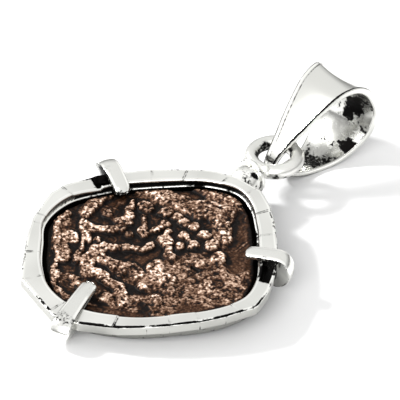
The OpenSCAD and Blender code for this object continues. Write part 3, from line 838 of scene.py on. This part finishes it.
# Painted shade: the wire's underside is darkened
under_side = step(RING_Z + 0.05, RING_Z - 0.4, places[..., 2])
dark = inner_edge * (0.55 + 0.5 * noise(places, 0.3, 72)) + 0.5 * under_side
dark, tone = touched(places, dark, 0.3 + 0.12 * noise(places, 0.9, 73))
ring = add_skin("ring", places, oxide=dark, tone=np.clip(tone, 0, 1))
BEAD_PLACE = (0.55, 11.3, RING_Z + 0.25)
bead_profile = [
    (-0.36, 0.02), (-0.3, 0.22), (-0.12, 0.37), (0.12, 0.38), (0.3, 0.22), (0.36, 0.02)]
places = lathe(bead_profile, 6, 48, -50, BEAD_PLACE)
places = lumpy(places, BEAD_PLACE, 0.3, 0.02, 75)
plain = np.zeros(places.shape[:2])
bead = add_skin("solder_bead", places, open_ends=True, oxide=plain + 0.2, tone=plain)

# %% [markdown]
# ## Bail
# The bail was cut as a leaf from silver sheet, dished along its middle and folded round the
# ring, tip on tip. Seen from the side it is a teardrop, so the fold is a closed curve
# through the same rows as in the solid model. Across it the sheet dips between its edges,
# and its thickness is measured square to the dished surface, which flares the cut edges.
# Inside, where no wheel reaches, it's blotched with oxide. A thin dark line beside each edge,
# where the dish begins to rise, is a painted dark reflection, and a bright strip on the top
# near the far edge is a painted highlight. The edge itself is rubbed clean.

# %% Fold the leaf
BAIL_L, BAIL_H, BAIL_W, BAIL_T, BAIL_TIP_T = 8.5, 6.5, 4.75, 0.5, 0.28
BAIL_SAG, TIP_ROOM, BAIL_TURN = 0.35, 0.71, 5.0
BAIL = np.array([  # distance from the tip, height over the ring, half width, as shares
    [0.000, -0.110, 0.20], [0.033, 0.002, 0.21], [0.156, 0.142, 0.31],
    [0.276, 0.262, 0.44], [0.396, 0.372, 0.55], [0.520, 0.465, 0.66],
    [0.605, 0.508, 0.72], [0.695, 0.522, 0.78], [0.778, 0.508, 0.84],
    [0.848, 0.468, 0.90], [0.925, 0.360, 0.95], [0.983, 0.200, 0.98],
    [0.998, 0.102, 1.00], [0.990, -0.015, 1.00], [0.930, -0.192, 0.96],
    [0.813, -0.335, 0.83], [0.667, -0.428, 0.67], [0.516, -0.455, 0.51],
    [0.335, -0.417, 0.38], [0.186, -0.335, 0.27], [0.045, -0.185, 0.21],
])


def bail_grid(steps=12, flat=61, roll=0.11, roll_steps=6):
    """Places of the bail's skin. Across the sheet, x runs from -1 to 1 on the outside and
    back on the inside, and each edge is closed by two quarter circles."""
    line = closed_line(BAIL, steps)
    along = RING_Y - RING_R + WIRE_D / 2 + TIP_ROOM + BAIL_L * line[:, 0]
    high = RING_Z + BAIL_H * line[:, 1]
    half = BAIL_W / 2 * line[:, 2:3]
    ahead = np.stack([along, high], -1)
    ahead = np.roll(ahead, -1, 0) - np.roll(ahead, 1, 0)
    inwards = np.stack([ahead[:, 1], -ahead[:, 0]], -1)
    inwards /= np.linalg.norm(inwards, axis=1, keepdims=True)
    a = np.radians(np.linspace(0, 90, roll_steps))
    edge_x, edge_d = roll * (np.sin(a) - 1), roll * (1 - np.cos(a))
    run = np.linspace(-1, 1, flat)[1:-1]
    side = np.concatenate([-np.ones(roll_steps), run, np.ones(2 * roll_steps), run[::-1],
                           -np.ones(roll_steps)])
    draw = np.concatenate([-edge_x[::-1], 0 * run, edge_x, edge_x[::-1], 0 * run, -edge_x])
    down = np.concatenate([edge_d[::-1], 0 * run, edge_d, -edge_d[::-1], 0 * run, -edge_d])
    inner = np.arange(len(side)) >= len(side) // 2
    wide = 2 * half / BAIL_W
    thick = BAIL_TIP_T + (BAIL_T - BAIL_TIP_T) * wide
    across = side * half + draw
    x = across / half
    depth = np.where(inner, thick, 0) + down
    inset = BAIL_SAG * wide**2 * (1 - x * x) + depth
    places = np.stack([
        across, along[:, None] + inwards[:, 0:1] * inset, high[:, None] + inwards[:, 1:2] * inset,
    ], -1)
    return places, depth / thick, x


bail_places, bail_inside, bail_x = bail_grid()
pivot_y = RING_Y + RING_R
x, y = spun(bail_places[..., 0], bail_places[..., 1] - pivot_y, -BAIL_TURN)
bail_places = np.stack([x, y + pivot_y, bail_places[..., 2]], -1)
print("bail grid", bail_places.shape)

# %% Polish and oxide of the bail
BAIL_TOUCHES = np.array([  # x, y, z, radius in mm, oxide, tone
    [0.5, 19.2, -0.7, 1.15, 0.26, 0.66], [0.3, 17.8, -1.5, 1.00, 0.26, 0.66],
    [1.3, 20.3, 1.6, 0.75, 0.85, 0.60], [0.9, 20.1, 0.7, 0.50, 0.70, 0.60],
    [1.8, 20.3, 1.1, 0.35, 0.90, 0.60], [-0.4, 19.7, -0.4, 0.55, 0.38, 0.00],
    [-0.7, 18.6, -1.2, 0.70, 0.36, 0.05], [1.96, 18.9, -1.0, 0.58, 1.10, 0.60],
    [1.6, 18.2, -1.4, 0.35, 0.30, 0.00], [0.4, 16.8, -1.6, 0.70, 0.62, 0.40],
    [1.37, 17.0, -1.7, 0.45, 0.62, 0.30], [2.2, 19.5, -0.4, 0.50, 0.35, 0.00],
    [2.75, 20.3, 0.8, 0.60, 0.10, 0.10],
])
half_mm = BAIL_W / 2 * closed_line(BAIL, 12)[:, 2:3]
from_edge = (1 - np.abs(bail_x)) * half_mm
deep = step(0.9, 1.0, bail_inside) * step(0.0, 0.15, from_edge)
cut_side = step(0.2, 0.35, bail_inside) * step(0.95, 0.8, bail_inside)
patches = rough_noise(bail_places, 1.1, 4, 81)
bail_oxide = deep * (0.45 + 0.45 * patches)
bail_tone = np.where(deep > 0.5, 0.45 + 0.3 * noise(bail_places, 0.8, 84), PLAIN_TONE)
bail_oxide, bail_tone = touched(bail_places, bail_oxide, bail_tone, BAIL_TOUCHES, 0.5)
bail_oxide, bail_tone = bail_oxide * deep, np.where(deep > 0.5, bail_tone, PLAIN_TONE)
on_top = step(0.3, 0.1, bail_inside)
near_side = bail_x > 0
waver = noise(bail_places, 1.5, 85)
lower_half = step(19.0, 17.0, bail_places[..., 1])
# Painted dark reflections: a thin dark line beside each edge of the top, wider in the lower half
line_wide = 0.07 + 0.05 * lower_half + 0.02 * waver
near_line = bell(from_edge, 0.12, line_wide) * (0.95 + 0.25 * waver)
far_line = bell(from_edge, 0.34, 0.06) * (0.62 + 0.2 * waver)
far_line = np.maximum(far_line, 0.8 * bell(from_edge, 0, 0.07))
bail_oxide = np.maximum(bail_oxide, np.where(near_side, near_line, far_line) * on_top)
# Painted highlight: a bright strip on the top near the far edge
far_strip = on_top * step(0.30, 0.22, from_edge) * (1 - near_side)
bail_tone = bail_tone * (1 - np.maximum(far_strip, cut_side))
bail = add_skin("bail", bail_places, oxide=bail_oxide, tone=np.clip(bail_tone, 0, 1))

# %% [markdown]
# ## Coin
# Long wear left soft ridges and dots on the coin, and corrosion left pits and rough areas
# between them. The relief is a height over the field: a dot or a stroke is a plateau round
# its middle line with smooth sides, and the highest one wins. Noise makes their outlines
# ragged, and clumps of crust and grain cover the rough areas. Where the metal stands high
# it has been rubbed to a pale tan, and the hollows keep their dark crust, so the same
# height also drives the colour.

# %% Relief of the coin
COIN_LOW, FIELD, RELIEF = 0.28, 1.23, 0.22
DOTS = np.array([  # x, y, radius as shares of COIN_R, height as a share of RELIEF
    [-0.43, 0.45, 0.065, 1.0], [-0.26, 0.50, 0.062, 1.0], [-0.13, 0.52, 0.045, 0.8],
    [-0.04, 0.50, 0.050, 0.9], [0.06, 0.51, 0.050, 0.9], [0.20, 0.48, 0.055, 1.0],
    [0.34, 0.41, 0.055, 1.0], [0.49, 0.31, 0.065, 1.0], [-0.41, 0.18, 0.038, 0.9],
    [-0.31, 0.06, 0.035, 0.9], [-0.15, 0.37, 0.042, 0.8], [0.07, 0.34, 0.048, 0.9],
    [0.23, 0.30, 0.042, 0.8], [0.15, 0.06, 0.052, 1.0], [-0.49, -0.18, 0.030, 0.8],
    [-0.47, 0.27, 0.045, 0.8], [-0.50, 0.17, 0.050, 0.6], [-0.64, 0.16, 0.045, 0.6],
    [-0.70, -0.31, 0.075, 0.6], [0.21, -0.42, 0.040, 0.7], [0.06, -0.72, 0.060, 0.7],
    [0.43, -0.29, 0.050, 0.6], [0.40, -0.46, 0.055, 0.6], [-0.35, 0.33, 0.022, 0.9],
    [0.15, 0.22, 0.040, 0.6], [0.42, 0.13, 0.050, 0.6],
])
STROKES = np.array([  # start x, y, end x, y, half width as shares of COIN_R, height
    [-0.04, 0.20, 0.04, 0.17, 0.045, 1.0], [0.04, 0.17, 0.14, 0.07, 0.035, 0.9],
    [-0.07, 0.08, -0.10, -0.02, 0.035, 1.0], [-0.10, -0.02, -0.20, -0.09, 0.035, 1.0],
    [-0.20, -0.09, -0.37, -0.19, 0.038, 1.0], [-0.37, -0.19, -0.42, -0.29, 0.045, 1.0],
    [-0.42, -0.29, -0.38, -0.45, 0.060, 1.0], [-0.38, -0.45, -0.28, -0.57, 0.055, 0.9],
    [-0.24, -0.50, -0.10, -0.55, 0.045, 1.0], [-0.10, -0.55, 0.06, -0.53, 0.042, 1.0],
    [0.06, -0.53, 0.19, -0.68, 0.045, 0.9], [-0.36, -0.35, -0.16, -0.34, 0.055, 0.9],
    [-0.16, -0.34, -0.03, -0.27, 0.045, 0.9], [-0.03, -0.27, 0.10, -0.31, 0.045, 0.8],
    [-0.07, -0.32, -0.03, -0.42, 0.030, 0.7], [0.13, -0.14, 0.20, -0.22, 0.075, 1.0],
    [0.20, -0.22, 0.34, -0.22, 0.065, 1.0], [-0.43, 0.07, -0.50, 0.00, 0.045, 1.0],
    [-0.50, 0.00, -0.60, -0.06, 0.040, 0.9], [-0.60, -0.06, -0.71, -0.07, 0.038, 0.9],
    [-0.63, -0.13, -0.55, -0.23, 0.032, 0.8], [-0.57, 0.43, -0.53, 0.31, 0.032, 0.9],
    [-0.34, 0.31, -0.25, 0.19, 0.020, 0.8], [-0.27, 0.17, -0.20, 0.15, 0.032, 0.9],
    [-0.13, 0.31, -0.18, 0.23, 0.028, 1.0], [-0.07, 0.31, -0.05, 0.24, 0.020, 0.8],
    [0.09, 0.36, 0.18, 0.31, 0.018, 0.8], [-0.64, 0.60, -0.40, 0.67, 0.060, 0.8],
    [-0.40, 0.67, -0.05, 0.68, 0.075, 0.8], [-0.05, 0.72, 0.16, 0.80, 0.110, 0.8],
    [0.16, 0.75, 0.38, 0.56, 0.055, 0.7], [-0.22, 0.96, 0.16, 1.00, 0.050, 0.6],
    [-0.91, -0.05, -0.92, -0.20, 0.020, 0.9], [-0.92, -0.20, -0.72, -0.46, 0.025, 1.0],
    [-0.72, -0.46, -0.60, -0.58, 0.025, 1.0], [-0.60, -0.58, -0.55, -0.72, 0.025, 0.9],
    [-0.55, -0.72, -0.40, -0.89, 0.025, 0.9], [-0.79, 0.00, -0.62, -0.21, 0.020, 0.9],
    [-0.60, -0.23, -0.53, -0.38, 0.020, 0.9], [-0.52, -0.42, -0.45, -0.52, 0.022, 0.8],
    [-0.66, -0.45, -0.56, -0.55, 0.050, 0.7], [-0.79, 0.36, -0.83, 0.22, 0.055, 0.7],
    [-0.83, 0.20, -0.80, 0.06, 0.055, 0.8], [-0.50, -0.71, -0.44, -0.80, 0.030, 0.7],
    [-0.36, -0.70, -0.24, -0.74, 0.030, 0.5], [-0.38, -0.92, -0.22, -0.92, 0.030, 0.6],
])
HOLLOWS = np.array([  # start x, y, end x, y, half width as shares of COIN_R, depth
    [0.29, 0.86, 0.40, 0.66, 0.075, 0.5], [0.40, 0.66, 0.57, 0.50, 0.085, 0.5],
    [0.57, 0.50, 0.70, 0.28, 0.085, 0.5], [0.42, 0.05, 0.44, 0.04, 0.045, 0.5],
    [-0.62, 0.33, -0.60, 0.45, 0.050, 0.4], [-0.30, 0.87, -0.12, 0.85, 0.050, 0.4],
])
ROUGH = np.array([  # start x, y, end x, y, half width as shares of COIN_R, roughness
    [-0.60, 0.62, -0.10, 0.70, 0.12, 1.0], [-0.10, 0.76, 0.14, 0.84, 0.18, 1.0],
    [0.14, 0.74, 0.40, 0.52, 0.10, 0.9], [-0.15, 0.96, 0.20, 0.98, 0.08, 0.7],
    [0.35, 0.12, 0.92, 0.22, 0.14, 0.9], [0.42, -0.02, 0.90, 0.02, 0.20, 1.0],
    [0.42, -0.22, 0.62, -0.20, 0.16, 1.0], [0.62, -0.10, 0.78, -0.16, 0.12, 0.9],
    [0.45, -0.40, 0.52, -0.52, 0.15, 1.0], [0.30, -0.62, 0.50, -0.50, 0.12, 1.0],
    [0.12, -0.70, 0.30, -0.62, 0.10, 0.9], [-0.84, 0.38, -0.82, 0.06, 0.08, 0.9],
    [-0.45, -0.76, -0.26, -0.72, 0.09, 0.9], [0.00, -0.70, 0.16, -0.72, 0.08, 0.9],
    [-0.66, 0.18, -0.46, 0.18, 0.07, 0.7], [-0.12, -0.34, 0.25, -0.36, 0.10, 0.7],
    [-0.90, -0.15, -0.70, -0.45, 0.08, 0.8], [0.25, 0.02, 0.40, -0.40, 0.13, 0.8],
])


def stroke_distance(row, x, y):
    """Distance to the straight line between a stroke's two ends."""
    ahead = row[2:4] - row[:2]
    t = np.clip(((x - row[0]) * ahead[0] + (y - row[1]) * ahead[1]) / (ahead @ ahead), 0, 1)
    return np.hypot(x - row[0] - t * ahead[0], y - row[1] - t * ahead[1])


def plateau(distance, half, height):
    """Worn flat top: the full height near the middle line, falling in a smooth step that
    ends at 1.15 times the half width."""
    return height * step(1.15 * half, 0.75 * half, distance)


def along_strokes(table, x, y, ragged=1.0):
    """Highest plateau of a table of strokes, whose widths are divided by ragged."""
    return np.maximum.reduce([
        plateau(stroke_distance(row, x, y) * ragged, *row[4:]) for row in table])


def relief(x, y, ragged=1.0):
    """Highest plateau of the dots and strokes, at places given as shares of COIN_R."""
    dots = [plateau(np.hypot(x - row[0], y - row[1]) * ragged, *row[2:]) for row in DOTS]
    return np.maximum.reduce([along_strokes(STROKES, x, y, ragged), *dots])


def beside(x, y, ragged=1.0):
    """Distance to the nearest edge of a dot or stroke as a share of COIN_R, less inside."""
    dots = [np.hypot(x - row[0], y - row[1]) * ragged - row[2] for row in DOTS]
    strokes = [stroke_distance(row, x, y) * ragged - row[4] for row in STROKES]
    return np.minimum.reduce(dots + strokes)


print("dots", len(DOTS), "strokes", len(STROKES), "rough areas", len(ROUGH))

# %% Coin skin
SIDE = 310


def coin_grid():
    """Places of the coin's face: a square grid from -1 to 1 is pressed onto a disc by
    x = s * sqrt(1 - t^2 / 2), y = t * sqrt(1 - s^2 / 2), then stretched to the edge."""
    run = np.linspace(-1, 1, SIDE)
    s, t = np.meshgrid(run, run, indexing="ij")
    x, y = s * np.sqrt(1 - t**2 / 2), t * np.sqrt(1 - s**2 / 2)
    share = np.minimum(np.hypot(x, y), 1)
    angle = np.degrees(np.arctan2(y, x))
    radius = share * coin_radius(angle)
    return around(angle, radius, FIELD), share


coin_places, coin_share = coin_grid()
x_share, y_share = coin_places[..., 0] / COIN_R, coin_places[..., 1] / COIN_R
wobble = sum(
    height * np.stack([noise(coin_places, cell, seed) for seed in seeds], -1)
    for height, cell, seeds in ((0.024, 0.9, (91, 92)), (0.013, 0.35, (87, 88))))
x_share, y_share = x_share + wobble[..., 0], y_share + wobble[..., 1]
ragged = 0.86 + 0.16 * noise(coin_places, 0.8, 89) + 0.08 * noise(coin_places, 0.25, 90)
raised = relief(x_share, y_share, ragged)
hollow = along_strokes(HOLLOWS, x_share, y_share)
crust = along_strokes(ROUGH, x_share, y_share) * (1 - step(0.1, 0.4, hollow))
from_edge = beside(x_share, y_share, ragged)
print("raised and rough shares:", [(part > 0.5).mean().round(2) for part in (raised, crust)])

# %% Corrosion of the coin's face
broad = rough_noise(coin_places, 1.6, 2, 93)
grain = 0.3 * noise(coin_places, 0.32, 94) + 0.9 * noise(coin_places, 0.17, 95)
fine = 0.8 * noise(coin_places, 0.15, 99) + 0.8 * noise(coin_places, 0.10, 100)
specks, glints = step(0.20, 0.42, fine), step(0.30, 0.55, -fine)
curl = noise(coin_places + 0.4 * wobble[..., :1], 0.75, 97)
present = step(-0.4, 0.3, noise(coin_places, 1.4, 98))
curls = bell(curl, 0, 0.09) * present
furrows = bell(np.abs(curl), 0.2, 0.07) * present
clump = step(-0.5, 0.2, noise(coin_places, 0.5, 96) + 0.5 * grain + 0.9 * crust - 0.6)
metal = np.maximum(step(0.2, 0.6, raised), 0.85 * crust * clump)
metal = np.maximum(metal, 0.5 * curls * step(0.01, 0.05, from_edge))
pits = step(0.20, 0.40, grain) * (0.3 + 0.7 * metal)
print("pitted and bare shares:", [(part > 0.5).mean().round(2) for part in (pits, metal)])

# %% Height and wear of the coin's face
height = RELIEF * raised - 0.5 * RELIEF * hollow + 0.06 * crust * clump + 0.03 * broad
height = height + 0.025 * curls - 0.045 * pits - 0.012 * grain * (0.4 + metal)
height = np.clip(height, -0.22, RELIEF)
edge_drop = 0.35 * step(0.955, 1.0, coin_share) ** 2
coin_places[..., 2] = FIELD + height * step(1.0, 0.97, coin_share) - edge_drop
uneven_dirt = 1.1 + 0.7 * noise(coin_places, 0.4, 86)
# Dirt and painted shade: the foot of every ridge is darkened
crevice = bell(from_edge, 0.018, 0.018) * uneven_dirt
crevice = crevice * (1 - step(0.3, 0.7, crust)) + 0.7 * crust * (1 - clump)
# Painted shade: the coin's border is darkened under the cup's lip
crevice = np.maximum.reduce([crevice, 0.7 * furrows * (1 - metal),
                             step(0.93, 0.98, coin_share + 0.02 * broad)])
# Wear and painted highlight: a band just inside each raised edge is lightened
rubbed_edge = bell(from_edge, -0.024, 0.014) * step(0.2, 0.6, raised)
wear = 0.05 + 0.05 * broad + metal * (0.29 + 0.14 * broad + 0.08 * raised) + 0.20 * rubbed_edge
wear = wear - (0.32 * pits + 0.46 * specks - 0.26 * glints) * (0.22 + 0.78 * metal)
wear = wear - 0.12 * grain * (0.3 + 0.7 * metal)
print("relief from", height.min().round(2), "to", height.max().round(2), "mm")

# %% Close the coin and shade its wear
def coin_border():
    """Point numbers of the face's border, in order round the coin."""
    last = SIDE - 1
    run = np.arange(last)
    return np.concatenate([run * SIDE, last * SIDE + run, (last - run) * SIDE + last, last - run])


def add_coin():
    """The face's grid, a wall down to the coin's underside and one face that closes it."""
    face = coin_places.reshape(-1, 3)
    border = coin_border()
    low = face[border].copy()
    low[:, 2] = COIN_LOW
    points = laid(np.concatenate([face, low]))
    below = len(face) + np.arange(len(border))
    underside = below[::-1].tolist()
    wall = np.stack([border, np.roll(border, -1), np.roll(below, -1), below], -1)
    quads = np.concatenate([grid_faces(SIDE, SIDE, False, False), wall[:, ::-1]])
    return add_mesh(
        "coin_face", points, outward_faces(points, quads, [underside]),
        wear=np.append(wear, np.zeros(len(border))),
        crevice=np.append(crevice, np.ones(len(border))))


coin = add_coin()

# %% [markdown]
# ## Worn bronze
# Old bronze under a dark crust is brown black in the pits, chocolate on the field, and tan
# with a touch of pink where it has been rubbed. It is a metal with oxide on it, so it
# shines only a little. The wear layer, which also holds a painted highlight inside the raised
# edges, picks the colour, and a fine noise of 0.15 mm adds the crystals of the crust, strong
# where the metal is bare and faint on the field. A second layer darkens the foot of every
# ridge, partly as settled dirt and partly as painted shade, and darkens the coin's border as
# painted shade under the cup's lip.

# %% Bronze material
BRONZE_RAMP = (  # place on the ramp from 0 to 1, colour
    (0.0, "#040100"), (0.16, "#170902"), (0.32, "#382213"), (0.48, "#664e3e"),
    (0.64, "#967c6a"), (0.82, "#c8b1a0"), (1.0, "#efe4da"),
)


CRYSTAL_MM, DIRT = 0.15, 0.40
SWING_ON_FIELD, SWING_ON_METAL = 0.7, 1.8


def bronze():
    """Bronze whose place on the ramp is the layer of wear and painted highlight, plus noise that
    swings more where the metal is bare, less the layer of dirt and painted shade times its
    strength."""
    material, tree, place = new_material("worn_bronze")
    worn = layer_value(tree, "wear")
    crystals = grain_mm(tree, place, CRYSTAL_MM, 4.0, 0.7)
    strength = map_range(tree, worn, 0.0, 1.0, SWING_ON_FIELD, SWING_ON_METAL)
    swing = maths(tree, "MULTIPLY", maths(tree, "SUBTRACT", crystals, 0.5), strength)
    shade = maths(tree, "ADD", map_range(tree, worn, -0.3, 1.0, 0.02, 0.98), swing)
    dirt = maths(tree, "MULTIPLY", layer_value(tree, "crevice"), DIRT)
    colours = add_node(
        tree, "ShaderNodeValToRGB", {"Fac": maths(tree, "SUBTRACT", shade, dirt)})
    stops = colours.color_ramp.elements
    while len(stops) < len(BRONZE_RAMP):
        stops.new(0.5)
    for stop, (position, colour) in zip(stops, BRONZE_RAMP):
        stop.position = position
        stop.color = linear(colour)
    shade_with(tree, {
        "Metallic": 0.3, "Roughness": 0.55, "Specular IOR Level": 0.12,
        "Base Color": colours.outputs["Color"], "Normal": bump_mm(tree, crystals, 0.7, 0.03)})
    return material


# Metal under a crust: half dull, so that it hardly mirrors the white walls
worn_bronze = bronze()
print("bronze ramp has", len(BRONZE_RAMP), "colours")

# %% [markdown]
# ## Put the finishes on and tie the pieces to the model
# Every piece rides on the model's one body and takes its finish, and the model's solid that
# it stands for is hidden.

# %% Finish every piece
FINISHES = [  # material, pieces, the solid that they stand for, the record's slot
    (hammered_silver, [rim, cup], "setting", "silver"),
    (polished_silver, prongs, "setting", "silver"),
    (cast_silver, [knuckle, collar, ring, bead], "setting", "silver"),
    (polished_silver, [bail], "bail", "bright_silver"),
    (worn_bronze, [coin], "coin", "bronze"),
]
for finish, pieces, node, slot in FINISHES:
    for piece in pieces:
        piece.data.materials.append(finish)
        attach(piece, "root")
        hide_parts(node)
print("pieces:", sum(len(row[1]) for row in FINISHES))

# %% [markdown]
# ## Floor and light
# Product photographs of silver are taken on white, inside white walls, because silver shows
# its surroundings. A fairly small lamp on the left throws the shadow to the right, and a
# large weak one in front keeps the floor there bright. The silver mirrors both lamps, the
# floor and the walls, so each hammered flat is as bright as what its own tilt shows it.

# %% Floor
FLOOR_HALF = 300 * MM


def add_floor():
    """A flat square under the pendant, as one face of dull paper-white."""
    corners = FLOOR_HALF * np.array([[-1, -1, 0], [1, -1, 0], [1, 1, 0], [-1, 1, 0]])
    floor = add_mesh("floor", corners, [(0, 1, 2, 3)])
    material, tree, _ = new_material("white_paper")
    shade_with(tree, {"Base Color": linear("#cfcfcf"), "Roughness": 0.85})
    floor.data.materials.append(material)
    return floor


floor = add_floor()

# %% Lamps and world
def towards(azimuth, elevation):
    """Direction of length 1 at an azimuth and elevation in degrees."""
    a, e = math.radians(azimuth), math.radians(elevation)
    return np.array([math.cos(a) * math.cos(e), math.sin(a) * math.cos(e), math.sin(e)])


def add_aimed(name, data, place, target):
    """An object for a lamp or camera at a place, with its -Z axis towards the target."""
    thing = bpy.data.objects.new(name, data)
    bpy.context.scene.collection.objects.link(thing)
    thing.location = place
    away = (np.array(target) - np.array(place)).tolist()
    thing.rotation_euler = Vector(away).to_track_quat("-Z", "Y").to_euler()
    return thing


LAMP_DISTANCE_MM = 450


def add_lamp(name, azimuth, elevation, size_mm, watts):
    """A square soft lamp in a direction, aimed at the middle of the floor."""
    light = bpy.data.lights.new(name, "AREA")
    light.size, light.energy = size_mm * MM, watts
    place = towards(azimuth, elevation) * LAMP_DISTANCE_MM * MM
    return add_aimed(name, light, place, (0, 0, 0))


key = add_lamp("soft_key", 200, 40, 70, 3.1)
fill = add_lamp("soft_fill", -70, 35, 300, 2.0)


def add_world(top, horizon):
    """White walls whose strength rises from horizon to top while the height of the
    direction goes from 0 to WALL_TOP, as a studio's roof is brighter than its far walls."""
    world = bpy.data.worlds.new("white_walls")
    world.use_nodes = True
    tree = world.node_tree
    direction = add_node(tree, "ShaderNodeTexCoord").outputs["Generated"]
    up = add_node(tree, "ShaderNodeSeparateXYZ", {0: direction}).outputs["Z"]
    strength = map_range(tree, up, 0.0, WALL_TOP, horizon, top, "SMOOTHSTEP")
    tree.links.new(strength, tree.nodes["Background"].inputs["Strength"])
    tree.nodes["Background"].inputs["Color"].default_value = linear("#ffffff")
    return world


WALL_TOP = 0.5
bpy.context.scene.world = add_world(1.05, 0.2)
bpy.context.scene.view_settings.view_transform = "Standard"
print("lamps at", [[round(c, 3) for c in lamp.location] for lamp in (key, fill)])

# %% [markdown]
# ## Camera
# The photograph was taken from a distance with a long lens, about 37 degrees above the
# table, and the camera leans a little. Its place was worked out from the outline of the rim
# and the bail, and the aim is shifted so that the pendant sits where it does there.

# %% Camera
CAMERA_AZIMUTH, CAMERA_ELEVATION, CAMERA_ROLL = -54.282, 36.966, 3.992
CAMERA_DISTANCE_MM, LENS_MM = 300.0, 411.83
CAMERA_TARGET_MM = np.array([0.0, -3.0538, 2.0506])
CAMERA_SHIFT = (0.05127, 0.08025)


def add_camera():
    """A camera at its distance from the target, looking at it, then rolled about its axis."""
    data = bpy.data.cameras.new("camera")
    data.lens, data.sensor_width = LENS_MM, 36.0
    data.shift_x, data.shift_y = CAMERA_SHIFT
    data.clip_start, data.clip_end = 0.01, 5.0
    target = CAMERA_TARGET_MM * MM
    way = towards(CAMERA_AZIMUTH, CAMERA_ELEVATION)
    camera = add_aimed("camera", data, target + way * CAMERA_DISTANCE_MM * MM, target)
    roll = Matrix.Rotation(math.radians(CAMERA_ROLL), 3, "Z")
    camera.rotation_euler = (camera.rotation_euler.to_matrix() @ roll).to_euler()
    return camera


bpy.context.scene.camera = add_camera()
print("camera", [round(c, 4) for c in bpy.context.scene.camera.location])
